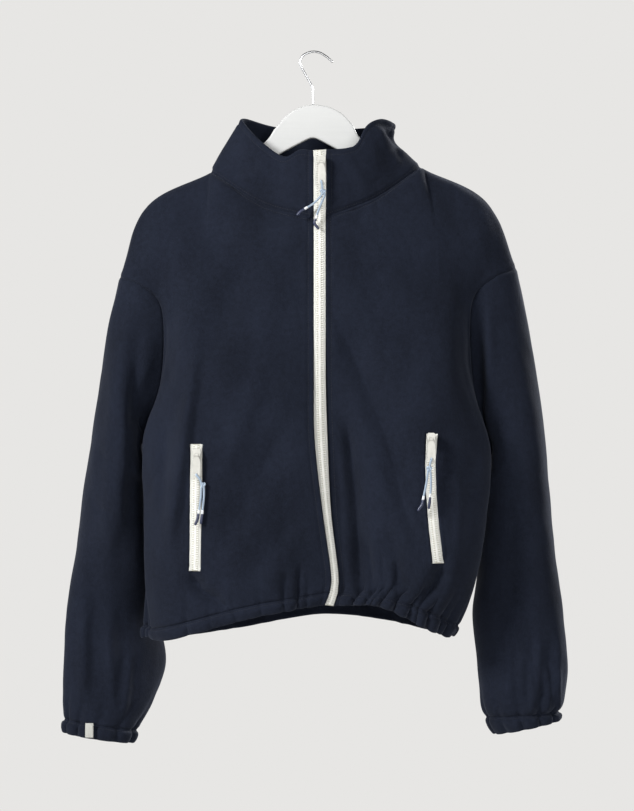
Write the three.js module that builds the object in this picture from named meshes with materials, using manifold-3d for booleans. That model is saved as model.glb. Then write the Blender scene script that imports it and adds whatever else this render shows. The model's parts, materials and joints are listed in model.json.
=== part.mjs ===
// A fleece jacket with a front zip, hanging from the hook of a flat wooden hanger.
// Sizes are in mm: x runs to the right, y away from the front, z up from the hook's seat.
import * as THREE from "three";
import { mergeVertices } from "three/addons/utils/BufferGeometryUtils.js";
import Module from "manifold-3d";

const wasm = await Module();
wasm.setup();
const { Manifold, Mesh } = wasm;

// Cloth thickness and seams
const FLEECE_WALL = 2.4;
const COLLAR_WALL = 4.0;
const CASING_WALL = 4.6;
const SEAM_WALL = 1.6;
const SEAM_GAP = 0.3;
const ARMHOLE_GAP = 0.6;

// Cells along each span of the section tables
const FRONT_SPANS = [5, 5, 4, 4];
const BACK_SPANS = [4, 4, 3, 3, 3, 3, 4, 4];
const ROW_SPANS = [2, 2, 3, 2, 3, 3, 2, 2];
const UNDERARM_ROW = 7;
const SLEEVE_SPANS = [2, 2, 2, 2, 2, 2, 2, 1];
const COLLAR_CELLS = 5;
const CASING_SPLIT = 3;
const CUFF_SPLIT = 2;

// Zips
const TAPE_THICK = 1.2;
const CHAIN_WIDTH = 6.2;
const CHAIN_THICK = 2.2;
const POCKET_TAPE_THICK = 1.6;

// Slider, pull tab and pull cord
const SLIDER_WIDTH = 10.5;
const SLIDER_HEIGHT = 13.5;
const SLIDER_PLATE = 1.8;
const PIN_RADIUS = 0.8;
const EYE_RADIUS = 2.1;
const EYE_WIDTH = 4.2;
const TAB_THICK = 2.0;
const TAB_WIDTH = 8.6;
const TAB_LENGTH = 26;
const TAB_HOLE = 2.1;
const CORD_RADIUS = 1.25;
const TIP_RADIUS = 1.7;
const KNOT_RADIUS = 3.3;

// Hanger
const BOARD_THICK = 10;
const HOOK_RADIUS = 1.4;

// Section tables. Each row is one level of the panel, from the hem seam up to the neck and
// shoulder seam. corner is how sharply the row bends at the side of the neck.
// Columns of a front: middle edge, quarter, below the neck side, side fold, side or armhole seam.
const LEFT_FRONT = [
  { row: "hem seam", corner: 0, at: [[20, -80, -641], [-76, -94, -657], [-158, -80, -679],
    [-187, -52, -686], [-191, -28, -686]] },
  { row: "low", corner: 0, at: [[21, -78, -618], [-79, -98, -626], [-158, -84, -634],
    [-194, -52, -640], [-193, -22, -640]] },
  { row: "pocket", corner: 0, at: [[11, -84, -545], [-79, -98, -545], [-153, -86, -547],
    [-197, -50, -549], [-192, -12, -550]] },
  { row: "underarm", corner: 0, at: [[2, -82, -463], [-79, -92, -463], [-147, -82, -463],
    [-196, -46, -464], [-200, -8, -462]] },
  { row: "armhole", corner: 0, at: [[1, -76, -393], [-76, -84, -393], [-142, -76, -393],
    [-174, -46, -394], [-181, -14, -392]] },
  { row: "chest", corner: 0, at: [[1, -68, -323], [-74, -72, -323], [-139, -62, -320],
    [-168, -40, -316], [-180, -26, -309]] },
  { row: "yoke", corner: 0.4, at: [[1, -58, -246], [-66, -56, -240], [-128, -42, -225],
    [-183, -34, -236], [-204, -27, -280]] },
  { row: "edge", corner: 1, at: [[1, -52, -213], [-61, -40, -196], [-124, -17, -156.5],
    [-198, -16, -196.5], [-226, -14, -271]] },
  { row: "top", corner: 1, at: [[1, -50, -201], [-60, -36, -184], [-122, 0, -143.5],
    [-199, 0, -184.5], [-231, 2, -269]] },
];
const RIGHT_FRONT = [
  { row: "hem seam", corner: 0, at: [[29, -72, -642], [85, -90, -646], [135, -84, -665],
    [171, -56, -681], [169, -28, -681]] },
  { row: "low", corner: 0, at: [[29, -70, -618], [99, -94, -624], [155, -88, -627],
    [191, -56, -625], [187, -22, -629]] },
  { row: "pocket", corner: 0, at: [[21, -74, -546], [99, -98, -550], [162, -88, -551],
    [203, -52, -552], [196, -12, -550]] },
  { row: "underarm", corner: 0, at: [[17, -70, -463], [97, -92, -469], [160, -86, -471],
    [206, -50, -473], [206, -8, -471]] },
  { row: "armhole", corner: 0, at: [[15, -68, -393], [92, -84, -393], [155, -78, -393],
    [181, -48, -393], [190, -14, -392]] },
  { row: "chest", corner: 0, at: [[15, -66, -323], [88, -72, -320], [149, -64, -315],
    [175, -44, -309], [189, -26, -302]] },
  { row: "yoke", corner: 0.4, at: [[15, -58, -246], [80, -56, -240], [146, -42, -218],
    [195, -34, -227], [215, -27, -271]] },
  { row: "edge", corner: 1, at: [[15, -52, -213], [76, -40, -188], [133, -17, -151],
    [206, -16, -190], [238, -14, -261]] },
  { row: "top", corner: 1, at: [[15, -50, -200], [75, -36, -176], [129, 0, -138],
    [207, 0, -178], [243, 2, -258]] },
];
// Columns of the back: left seam, left side, left corner, quarter, middle, quarter, right corner,
// right side, right seam.
const BACK = [
  { row: "hem seam", corner: 0, at: [[-191, -28, -686], [-202, 0, -684], [-170, 34, -684],
    [-90, 54, -675], [8, 58, -661], [84, 56, -667], [142, 46, -678], [172, 6, -684],
    [169, -28, -681]] },
  { row: "low", corner: 0, at: [[-193, -22, -640], [-197, 4, -636], [-168, 38, -634],
    [-90, 60, -626], [8, 62, -618], [90, 60, -622], [150, 46, -630], [180, 8, -634],
    [187, -22, -629]] },
  { row: "pocket", corner: 0, at: [[-192, -12, -550], [-182, 20, -548], [-155, 52, -546],
    [-88, 68, -544], [8, 70, -542], [100, 68, -544], [160, 54, -548], [187, 20, -550],
    [196, -12, -550]] },
  { row: "underarm", corner: 0, at: [[-200, -8, -462], [-184, 26, -462], [-156, 60, -462],
    [-86, 70, -460], [8, 72, -458], [102, 70, -460], [162, 60, -464], [190, 26, -468],
    [206, -8, -471]] },
  { row: "armhole", corner: 0, at: [[-182, 24, -394], [-173, 40, -394], [-150, 60, -392],
    [-84, 68, -392], [8, 70, -390], [100, 68, -392], [158, 60, -394], [181, 40, -394],
    [191, 24, -394]] },
  { row: "chest", corner: 0, at: [[-184, 38, -312], [-174, 48, -316], [-146, 58, -318],
    [-80, 62, -320], [8, 62, -318], [96, 62, -318], [152, 58, -316], [181, 48, -309],
    [193, 38, -305]] },
  { row: "yoke", corner: 0.4, at: [[-206, 31, -283], [-186, 36, -246], [-140, 44, -228],
    [-76, 52, -236], [8, 56, -238], [92, 52, -232], [148, 44, -220], [197, 36, -236],
    [217, 31, -274]] },
  { row: "edge", corner: 1, at: [[-226, 17, -272], [-198, 16, -196.5], [-126, 19, -158.5],
    [-68, 38, -166], [6, 50, -170], [80, 38, -162], [133, 19, -153], [206, 16, -190],
    [238, 17, -262]] },
  { row: "top", corner: 1, at: [[-231, 2, -269], [-199, 0, -184.5], [-122, 0, -143.5],
    [-66, 32, -151], [5, 46, -156], [76, 32, -148], [129, 0, -138], [207, 0, -178],
    [243, 2, -258]] },
];
// Lower edges of the hem casing, in the same columns as the panels above them
const HEM_EDGE = {
  leftFront: [[14, -78, -656.5], [-73, -92, -671.5], [-155, -80, -695], [-184, -54, -700],
    [-194, -30, -698]],
  rightFront: [[24, -72, -658], [78, -88, -659], [131, -80, -685], [160, -56, -697],
    [163, -30, -695]],
  back: [[-194, -30, -698], [-203, 0, -702], [-170, 35, -704], [-90, 55, -694], [8, 60, -678],
    [84, 58, -684], [140, 46, -696], [166, 6, -700], [163, -30, -695]],
};
// Sleeve sections from the armhole down. tilt lifts the outer side, yaw turns the inner side back.
const LEFT_SLEEVE = [
  { x: -212, y: 4, z: -366, width: 98, depth: 36, tilt: 78, yaw: 0, power: 2.1 },
  { x: -225, y: 8, z: -406, width: 79, depth: 44, tilt: 75, yaw: 0, power: 2.1 },
  { x: -231, y: 12, z: -466, width: 58, depth: 46, tilt: 62, yaw: 0, power: 2.1 },
  { x: -238, y: 16, z: -542, width: 44, depth: 45, tilt: 34, yaw: 6, power: 2.1 },
  { x: -241, y: 28, z: -606, width: 46, depth: 40, tilt: 17, yaw: 16, power: 2.1 },
  { x: -243, y: 38, z: -672, width: 57, depth: 31, tilt: 4, yaw: 27, power: 2.0 },
  { x: -240, y: 30, z: -733, width: 63, depth: 31, tilt: 2, yaw: 22, power: 2.0 },
  { x: -248, y: 17, z: -779, width: 53, depth: 32, tilt: 4, yaw: 14, power: 2.0 },
  { x: -255, y: 7, z: -805, width: 43, depth: 29, tilt: 9, yaw: 6, power: 2.0 },
];
const RIGHT_SLEEVE = [
  { x: 223, y: 4, z: -364, width: 108, depth: 36, tilt: 79, yaw: 0, power: 2.1 },
  { x: 235, y: 8, z: -408, width: 84, depth: 44, tilt: 74, yaw: 0, power: 2.1 },
  { x: 242, y: 12, z: -470, width: 60, depth: 46, tilt: 59, yaw: 0, power: 2.1 },
  { x: 246, y: 16, z: -545, width: 45, depth: 45, tilt: 37, yaw: 5, power: 2.1 },
  { x: 245, y: 18, z: -605, width: 47, depth: 42, tilt: 20, yaw: 8, power: 2.1 },
  { x: 246, y: 16, z: -666, width: 53, depth: 36, tilt: 7, yaw: 8, power: 2.0 },
  { x: 252, y: 9, z: -734, width: 53, depth: 33, tilt: 3, yaw: 5, power: 2.0 },
  { x: 252, y: 4, z: -777, width: 49, depth: 33, tilt: 3, yaw: 0, power: 2.0 },
  { x: 251, y: 3, z: -792, width: 43, depth: 29, tilt: 4, yaw: 0, power: 2.0 },
];
// Lower edge of each cuff, in the same columns as the sleeve sections
const LEFT_CUFF = { x: -258, y: 5, z: -821.5, width: 41, depth: 27, tilt: 9, yaw: 5, power: 2.0 };
const RIGHT_CUFF = { x: 257, y: 3, z: -808.5, width: 39, depth: 27, tilt: 12, yaw: 0, power: 2.0 };

// Collar top edge from the left side of the zip round the neck to the right side. at counts cells.
const COLLAR_TOP = [
  { at: 0, x: 1, y: -42, z: -121, bulge: 3 },
  { at: 2, x: -16, y: -41, z: -120, bulge: 5 },
  { at: 4, x: -34, y: -39, z: -128, bulge: 5 },
  { at: 7, x: -59, y: -28, z: -111, bulge: 5 },
  { at: 9, x: -80, y: -9, z: -88, bulge: 2 },
  { at: 10.5, x: -82, y: 8, z: -78, bulge: 0 },
  { at: 13, x: -47, y: 34, z: -85, bulge: 4 },
  { at: 16, x: 4, y: 42, z: -89, bulge: 5 },
  { at: 19, x: 54, y: 36, z: -87, bulge: 2 },
  { at: 21.5, x: 94, y: 14, z: -86, bulge: -10 },
  { at: 23, x: 94, y: -2, z: -83, bulge: -10 },
  { at: 25, x: 80, y: -16, z: -81, bulge: -2 },
  { at: 27, x: 64, y: -28, z: -90, bulge: 5 },
  { at: 28.5, x: 52, y: -37, z: -112, bulge: 5 },
  { at: 30, x: 40, y: -41, z: -118, bulge: 5 },
  { at: 32, x: 15, y: -42, z: -120, bulge: 3 },
];
// How far the inner side of a sleeve bows away from the body below the underarm
const SLEEVE_BOW = 9;
// How far the neck seam swings clear of the hanger beside the neck
const NECK_SWING = 9;

// Folds of the front panels, seen from the front. rise is out of the panel, in mm.
const FRONT_FOLDS = [
  { name: "ridge beside left pocket", from: [-137, -393], mid: [-151, -479], to: [-166, -578],
    width: 12, rise: 6 },
  { name: "left pocket foot", from: [-146, -620], mid: [-129, -639], to: [-104, -656],
    width: 10, rise: -6 },
  { name: "left soft band upper", from: [-29, -447], mid: [-68, -510], to: [-106, -586],
    width: 20, rise: -5 },
  { name: "left soft band lower", from: [-12, -540], mid: [-50, -590], to: [-84, -632],
    width: 16, rise: -4 },
  { name: "left chest", from: [-70, -250], mid: [-100, -300], to: [-128, -372],
    width: 22, rise: -5 },
  { name: "right long trough", from: [26, -330], mid: [75, -463], to: [122, -585],
    width: 13, rise: -9 },
  { name: "right long ridge", from: [48, -345], mid: [96, -463], to: [140, -575],
    width: 13, rise: 5 },
  { name: "trough right of the zip", from: [32, -440], mid: [45, -535], to: [52, -640],
    width: 11, rise: -9 },
  { name: "right pocket foot", from: [150, -610], mid: [146, -628], to: [128, -650],
    width: 10, rise: -8 },
  { name: "right hem fold", from: [84, -560], mid: [96, -610], to: [106, -646],
    width: 12, rise: -6 },
  { name: "right chest", from: [60, -250], mid: [80, -300], to: [140, -380],
    width: 22, rise: -4 },
];
// Folds of the back, seen from behind in the same x and z
const BACK_FOLDS = [
  { name: "left back drape", from: [-110, -260], mid: [-95, -420], to: [-100, -620],
    width: 18, rise: -6 },
  { name: "middle back drape", from: [-20, -330], mid: [-8, -480], to: [-22, -640],
    width: 22, rise: 6 },
  { name: "right back drape", from: [112, -270], mid: [80, -430], to: [64, -630],
    width: 18, rise: -7 },
  { name: "right back ridge", from: [140, -330], mid: [124, -470], to: [112, -620],
    width: 15, rise: 5 },
];
// Folds of the sleeves. side is 1 for the front half and -1 for the back half.
const LEFT_SLEEVE_FOLDS = [
  { name: "front ridge", side: 1, from: [-226, -330], mid: [-234, -470], to: [-243, -620],
    width: 12, rise: 6 },
  { name: "outer ridge", side: 1, from: [-274, -640], mid: [-277, -700], to: [-276, -770],
    width: 10, rise: 5 },
  { name: "middle trough", side: 1, from: [-262, -650], mid: [-262, -710], to: [-262, -780],
    width: 8, rise: -5 },
  { name: "inner ridge", side: 1, from: [-246, -650], mid: [-244, -710], to: [-240, -775],
    width: 10, rise: 5 },
  { name: "back drape", side: -1, from: [-236, -380], mid: [-250, -560], to: [-240, -740],
    width: 14, rise: -6 },
];
const RIGHT_SLEEVE_FOLDS = [
  { name: "front inner ridge", side: 1, from: [207, -300], mid: [208, -450], to: [203, -640],
    width: 11, rise: 7 },
  { name: "front trough", side: 1, from: [238, -420], mid: [246, -560], to: [240, -690],
    width: 16, rise: -5 },
  { name: "cuff fold left", side: 1, from: [262, -690], mid: [258, -740], to: [254, -780],
    width: 8, rise: -6 },
  { name: "cuff fold right", side: 1, from: [284, -700], mid: [282, -745], to: [276, -780],
    width: 8, rise: -6 },
  { name: "back drape", side: -1, from: [244, -380], mid: [256, -560], to: [250, -740],
    width: 14, rise: -6 },
];
// Gathers of the casings: where each trough sits across the front, with its depth
const HEM_GATHERS = [
  { x: -150, width: 9, depth: 2.2 },
  { x: -112, width: 8, depth: 1.4 },
  { x: -60, width: 9, depth: 1.2 },
  { x: -14, width: 6, depth: 2.0 },
  { x: 6, width: 6, depth: 1.8 },
  { x: 50, width: 5, depth: 4.6 },
  { x: 67, width: 5, depth: 3.4 },
  { x: 84, width: 5, depth: 4.2 },
  { x: 100, width: 5, depth: 3.4 },
  { x: 118, width: 5, depth: 4.4 },
  { x: 136, width: 5, depth: 4.0 },
  { x: 154, width: 5, depth: 3.6 },
];
const BACK_GATHER = { count: 15, depth: 2.6 };
const CUFF_GATHER = { count: 11, depth: 1.8 };

// Pocket zips seen from the front, from top to bottom
const POCKETS = {
  left: [
    { x: -136, z: -468, half: 7.0 },
    { x: -136, z: -505, half: 7.0 },
    { x: -136.5, z: -545, half: 6.8 },
    { x: -137, z: -585, half: 6.6 },
    { x: -137.5, z: -616, half: 6.6 },
  ],
  right: [
    { x: 139, z: -456, half: 6.6 },
    { x: 137, z: -490, half: 6.0 },
    { x: 138, z: -526, half: 6.0 },
    { x: 141, z: -566, half: 6.2 },
    { x: 146, z: -607, half: 6.4 },
  ],
};

const MATERIALS = {
  fleece: { colour: 0x20252f, roughness: 0.95, metalness: 0 },
  tape: { colour: 0xd9d6cc, roughness: 0.9, metalness: 0 },
  teeth: { colour: 0xdedbd0, roughness: 0.45, metalness: 0 },
  cord: { colour: 0xa9bccb, roughness: 0.9, metalness: 0 },
  tip: { colour: 0x2a3350, roughness: 0.4, metalness: 0 },
  label: { colour: 0xe9e7df, roughness: 0.85, metalness: 0 },
  paint: { colour: 0xf0efec, roughness: 0.5, metalness: 0 },
  steel: { colour: 0xb9bcc0, roughness: 0.25, metalness: 1 },
};

const jacket = new THREE.Group();
jacket.name = "fleece_zip_jacket";

function addPiece(name, geometry, kind) {
  const m = MATERIALS[kind];
  const material = new THREE.MeshStandardMaterial({
    color: m.colour,
    roughness: m.roughness,
    metalness: m.metalness,
  });
  material.name = kind;
  const mesh = new THREE.Mesh(geometry, material);
  mesh.name = name;
  jacket.add(mesh);
}

const vec = (p) => new THREE.Vector3(p[0], p[1], p[2]);
const clamp01 = (t) => Math.min(1, Math.max(0, t));
const smooth = (t) => clamp01(t) ** 2 * (3 - 2 * clamp01(t));
const mix = (a, b, t) => a + (b - a) * t;

// Smooth curve through points. sharp, where given, is how far the curve breaks at one index.
function curveAt(points, t, sharp = {}) {
  const last = points.length - 1;
  const i = Math.min(last - 1, Math.max(0, Math.floor(t)));
  const f = t - i;
  const slope = (k, side) => {
    const before = points[Math.max(0, k - 1)];
    const after = points[Math.min(last, k + 1)];
    const span = k === 0 || k === last ? 1 : 2;
    const even = after.clone().sub(before).divideScalar(span);
    const broken = side > 0
      ? after.clone().sub(points[k])
      : points[k].clone().sub(before);
    return even.lerp(broken, sharp[k] || 0);
  };
  const a = points[i];
  const b = points[i + 1];
  const da = slope(i, 1);
  const db = slope(i + 1, -1);
  const f2 = f * f;
  const f3 = f2 * f;
  return new THREE.Vector3()
    .addScaledVector(a, 2 * f3 - 3 * f2 + 1)
    .addScaledVector(da, f3 - 2 * f2 + f)
    .addScaledVector(b, -2 * f3 + 3 * f2)
    .addScaledVector(db, f3 - f2);
}

// Positions in table units for a list of spans
function stops(spans) {
  const out = [0];
  spans.forEach((count, k) => {
    for (let i = 1; i <= count; i += 1) out.push(k + i / count);
  });
  return out;
}

// Grid of points through a section table
function panelGrid(table, spans, corners, swing) {
  const across = stops(spans);
  const up = stops(ROW_SPANS);
  const rows = table.map((row) => {
    const sharp = {};
    corners.forEach((k) => {
      sharp[k] = row.corner;
    });
    const knots = row.at.map(vec);
    return across.map((t) => {
      const p = curveAt(knots, t, sharp);
      p.y += swing(t) * NECK_SWING * Math.max(0, 2 * row.corner - 1);
      return p;
    });
  });
  return up.map((v) => across.map((_, j) => curveAt(rows.map((r) => r[j]), v)));
}

// Distance in x and z from a point to a fold's bent line, with how far along it lies
function foldPush(fold, p) {
  const a = new THREE.Vector2(fold.from[0], fold.from[1]);
  const m = new THREE.Vector2(fold.mid[0], fold.mid[1]);
  const b = new THREE.Vector2(fold.to[0], fold.to[1]);
  const at = new THREE.Vector2(p.x, p.z);
  let best = Infinity;
  let along = 0;
  [[a, m, 0], [m, b, 0.5]].forEach(([s, e, start]) => {
    const d = e.clone().sub(s);
    const t = clamp01(at.clone().sub(s).dot(d) / d.lengthSq());
    const away = at.distanceTo(s.clone().addScaledVector(d, t));
    if (away < best) {
      best = away;
      along = start + t / 2;
    }
  });
  const ends = smooth(along / 0.25) * smooth((1 - along) / 0.2);
  const reach = best / fold.width;
  return fold.rise * (0.15 + 0.85 * ends) * Math.exp(-reach * reach);
}

// Normals of a grid. closed grids wrap round in the second direction.
function gridNormals(grid, closed) {
  const rows = grid.length;
  const cols = grid[0].length;
  return grid.map((line, i) => line.map((_, j) => {
    const up = grid[Math.min(rows - 1, i + 1)][j].clone().sub(grid[Math.max(0, i - 1)][j]);
    const next = closed ? (j + 1) % cols : Math.min(cols - 1, j + 1);
    const prev = closed ? (j - 1 + cols) % cols : Math.max(0, j - 1);
    const side = line[next].clone().sub(line[prev]);
    return side.cross(up).normalize();
  }));
}

// Moves a panel's inner points along its normals by the folds, leaving the seams where they are
function foldPanel(grid, normals, folds, closed, keep) {
  const rows = grid.length;
  const cols = grid[0].length;
  return grid.map((line, i) => line.map((p, j) => {
    const n = normals[i][j];
    const edge = smooth(i / 2) * smooth((rows - 1 - i) / 2);
    const side = closed ? 1 : smooth(j / 2) * smooth((cols - 1 - j) / 2);
    const hold = keep ? keep(i, j) : edge * side;
    const push = folds.reduce((sum, fold) => {
      if (fold.side && Math.sign(-n.y) !== fold.side) return sum;
      return sum + foldPush(fold, p);
    }, 0);
    return p.clone().addScaledVector(n, push * hold);
  }));
}

// A piece of cloth: points, normals out of the garment and a thickness at each point
function makeCloth(grid, closed, thick, topGap = SEAM_GAP / 2) {
  const at = typeof thick === "number" ? () => thick : thick;
  return {
    grid,
    closed,
    topGap,
    normals: gridNormals(grid, closed),
    thick: grid.map((line, i) => line.map((_, j) => at(i, j))),
  };
}

// Pieces that meet at a seam share their points' normals there
function shareSeams(pieces) {
  const met = new Map();
  const edges = [];
  pieces.forEach((piece) => {
    const rows = piece.grid.length;
    const cols = piece.grid[0].length;
    piece.grid.forEach((line, i) => line.forEach((p, j) => {
      const onEdge = i === 0 || i === rows - 1 || (!piece.closed && (j === 0 || j === cols - 1));
      if (!onEdge) return;
      const key = [p.x, p.y, p.z].map((c) => Math.round(c * 20)).join();
      if (!met.has(key)) met.set(key, new THREE.Vector3());
      met.get(key).add(piece.normals[i][j]);
      edges.push([piece, i, j, key]);
    }));
  });
  edges.forEach(([piece, i, j, key]) => {
    piece.normals[i][j] = met.get(key).clone().normalize();
  });
}

// Draws the edge points in along the cloth by half the seam gap
function drawIn(piece) {
  const rows = piece.grid.length;
  const cols = piece.grid[0].length;
  const inward = (from, to, n, gap = SEAM_GAP / 2) => {
    const d = to.clone().sub(from);
    d.addScaledVector(n, -d.dot(n));
    return d.normalize().multiplyScalar(gap);
  };
  return piece.grid.map((line, i) => line.map((p, j) => {
    const n = piece.normals[i][j];
    const out = p.clone();
    if (i === 0) out.add(inward(p, piece.grid[1][j], n));
    if (i === rows - 1) out.add(inward(p, piece.grid[rows - 2][j], n, piece.topGap));
    if (!piece.closed && j === 0) out.add(inward(p, line[1], n));
    if (!piece.closed && j === cols - 1) out.add(inward(p, line[cols - 2], n));
    return out;
  }));
}

// Outer and inner faces with a rim between them, as one closed body
function clothGeometry(piece) {
  const grid = drawIn(piece);
  const rows = grid.length;
  const cols = grid[0].length;
  const points = [];
  const faces = [];
  [1, -1].forEach((side) => {
    grid.forEach((line, i) => line.forEach((p, j) => {
      const half = (side * piece.thick[i][j]) / 2;
      const q = p.clone().addScaledVector(piece.normals[i][j], half);
      points.push(q.x, q.y, q.z);
    }));
  });
  const count = rows * cols;
  const id = (i, j, inner) => i * cols + (j % cols) + (inner ? count : 0);
  const spanCols = piece.closed ? cols : cols - 1;
  const quad = (a, b, c, d) => faces.push(a, b, c, a, c, d);
  for (let i = 0; i < rows - 1; i += 1) {
    for (let j = 0; j < spanCols; j += 1) {
      const short = grid[i][j].distanceTo(grid[i + 1][(j + 1) % cols])
        <= grid[i][(j + 1) % cols].distanceTo(grid[i + 1][j]);
      const o = [id(i, j), id(i, j + 1), id(i + 1, j + 1), id(i + 1, j)];
      const n = o.map((k) => k + count);
      if (short) {
        quad(o[0], o[1], o[2], o[3]);
        faces.push(n[0], n[2], n[1], n[0], n[3], n[2]);
      } else {
        quad(o[1], o[2], o[3], o[0]);
        faces.push(n[1], n[3], n[2], n[1], n[0], n[3]);
      }
    }
  }
  for (let j = 0; j < spanCols; j += 1) {
    quad(id(0, j, true), id(0, j + 1, true), id(0, j + 1), id(0, j));
    quad(id(rows - 1, j), id(rows - 1, j + 1), id(rows - 1, j + 1, true), id(rows - 1, j, true));
  }
  if (!piece.closed) {
    for (let i = 0; i < rows - 1; i += 1) {
      quad(id(i, 0), id(i + 1, 0), id(i + 1, 0, true), id(i, 0, true));
      quad(id(i, cols - 1, true), id(i + 1, cols - 1, true), id(i + 1, cols - 1), id(i, cols - 1));
    }
  }
  const geometry = new THREE.BufferGeometry();
  geometry.setAttribute("position", new THREE.Float32BufferAttribute(points, 3));
  geometry.setIndex(faces);
  geometry.computeVertexNormals();
  return geometry;
}

// Solid modelling helpers
function toSolid(geometry) {
  const bare = geometry.clone();
  bare.deleteAttribute("normal");
  bare.deleteAttribute("uv");
  const joined = mergeVertices(bare, 1e-3);
  const index = joined.index.array;
  return new Manifold(new Mesh({
    numProp: 3,
    vertProperties: new Float32Array(joined.attributes.position.array),
    triVerts: new Uint32Array(index),
  }));
}

function fromSolid(solid) {
  const mesh = solid.getMesh();
  const geometry = new THREE.BufferGeometry();
  geometry.setAttribute("position", new THREE.BufferAttribute(mesh.vertProperties, 3));
  geometry.setIndex(new THREE.BufferAttribute(mesh.triVerts, 1));
  geometry.computeVertexNormals();
  return geometry;
}

// Front and back panels. Grid columns run left to right seen from outside the cloth.
const fromNeck = (t) => (t > 0 && t < 1 ? Math.sin(Math.PI * t ** 0.45) : 0);
const leftBase = panelGrid(LEFT_FRONT, FRONT_SPANS, [2], (t) => -fromNeck(2 - t));
const rightBase = panelGrid(RIGHT_FRONT, FRONT_SPANS, [2], (t) => -fromNeck(2 - t));
const backBase = panelGrid(BACK, BACK_SPANS, [2, 6], (t) => 0.6 * (fromNeck(t - 2) + fromNeck(6 - t)));

const frontHold = (rows, cols) => (i, j) => {
  const edge = smooth(i / 1.5) * smooth((rows - 1 - i) / 3);
  return edge * smooth(j / 1.5) * smooth((cols - 1 - j) / 3);
};

function foldedPanel(base, folds, flip) {
  const ordered = flip ? base.map((line) => [...line].reverse()) : base;
  const normals = gridNormals(ordered, false);
  const hold = frontHold(ordered.length, ordered[0].length);
  const cols = ordered[0].length;
  const keep = flip ? (i, j) => hold(i, cols - 1 - j) : hold;
  const moved = foldPanel(ordered, normals, folds, false, keep);
  return flip ? moved.map((line) => line.reverse()) : moved;
}

const leftFront = foldedPanel(leftBase, FRONT_FOLDS, true);
const rightFront = foldedPanel(rightBase, FRONT_FOLDS, false);
const backPanel = foldedPanel(backBase, BACK_FOLDS, true);

// The side seam and the shoulder seam belong to a front and the back alike
function weld(a, b) {
  const middle = a.clone().add(b).multiplyScalar(0.5);
  a.copy(middle);
  b.copy(middle);
}

const lastRow = leftFront.length - 1;
const seamCol = leftFront[0].length - 1;
const backLast = backPanel[0].length - 1;
const shoulderCells = FRONT_SPANS[2] + FRONT_SPANS[3];
const neckCells = FRONT_SPANS[0] + FRONT_SPANS[1];
for (let i = 0; i <= UNDERARM_ROW; i += 1) {
  weld(leftFront[i][seamCol], backPanel[i][0]);
  weld(rightFront[i][seamCol], backPanel[i][backLast]);
}
for (let j = 0; j <= shoulderCells; j += 1) {
  weld(leftFront[lastRow][seamCol - j], backPanel[lastRow][j]);
  weld(rightFront[lastRow][seamCol - j], backPanel[lastRow][backLast - j]);
}

// Sleeves start on the armhole: down the front to the underarm, then up the back
function armhole(front, backColumn) {
  const ring = [];
  for (let i = lastRow; i >= UNDERARM_ROW; i -= 1) ring.push(front[i][seamCol].clone());
  for (let i = UNDERARM_ROW + 1; i < lastRow; i += 1) ring.push(backPanel[i][backColumn].clone());
  return ring;
}

function ringPoint(section, angle, outSide) {
  const tilt = (section.tilt * Math.PI) / 180;
  const yaw = (section.yaw * Math.PI) / 180;
  const c = Math.cos(angle);
  const s = Math.sin(angle);
  const across = section.width * Math.sign(c) * Math.abs(c) ** (2 / section.power);
  const deep = section.depth * Math.sign(s) * Math.abs(s) ** (2 / section.power);
  const x = across * Math.cos(tilt) * Math.cos(yaw) - deep * Math.sin(yaw);
  const y = -across * Math.cos(tilt) * Math.sin(yaw) - deep * Math.cos(yaw);
  const z = across * Math.sin(tilt);
  return new THREE.Vector3(section.x + outSide * x, section.y + y, section.z + z);
}

// Angle of each ring point, by its share of the way round the armhole
function ringAngles(ring) {
  const half = ring.length / 2;
  const angles = new Array(ring.length).fill(0);
  const walk = (from, step) => {
    const lengths = [0];
    for (let k = 1; k <= half; k += 1) {
      const a = ring[(from + step * (k - 1) + ring.length) % ring.length];
      const b = ring[(from + step * k + ring.length) % ring.length];
      lengths.push(lengths[k - 1] + a.distanceTo(b));
    }
    return lengths.map((d) => (Math.PI * d) / lengths[half]);
  };
  const front = walk(0, 1);
  const rear = walk(0, -1);
  for (let k = 0; k <= half; k += 1) angles[k] = front[k];
  for (let k = 1; k < half; k += 1) angles[ring.length - k] = 2 * Math.PI - rear[k];
  return angles;
}

function sleeveGrid(ring, sections, outSide, folds) {
  const angles = ringAngles(ring);
  const count = ring.length;
  const down = stops(SLEEVE_SPANS);
  const first = angles.map((a) => ringPoint(sections[0], a, outSide));
  const grid = down.map((w) => ring.map((p, k) => {
    const even = (2 * Math.PI * k) / count;
    const angle = mix(angles[k], even, smooth(w / 3));
    const rings = sections.map((s) => ringPoint(s, angle, outSide));
    const shaped = curveAt(rings, w);
    const pull = p.clone().sub(first[k]).multiplyScalar(1 - smooth(w / 2.2));
    const inner = smooth(0.5 - 0.5 * Math.cos(angle));
    shaped.x += outSide * SLEEVE_BOW * inner * Math.sin((Math.PI * Math.min(w, 2)) / 2);
    return shaped.add(pull);
  }));
  // Rows run upwards and columns run left to right, so that the normals point out
  const upward = grid.reverse().map((line) => (outSide > 0 ? [...line].reverse() : line));
  const normals = gridNormals(upward, true);
  const rows = upward.length;
  const keep = (i) => smooth(i / 1.5) * smooth((rows - 1 - i) / 3);
  return foldPanel(upward, normals, folds, true, keep);
}

const leftSleeve = sleeveGrid(armhole(leftFront, 0), LEFT_SLEEVE, -1, LEFT_SLEEVE_FOLDS);
const rightSleeve = sleeveGrid(armhole(rightFront, backLast), RIGHT_SLEEVE, 1, RIGHT_SLEEVE_FOLDS);

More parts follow.
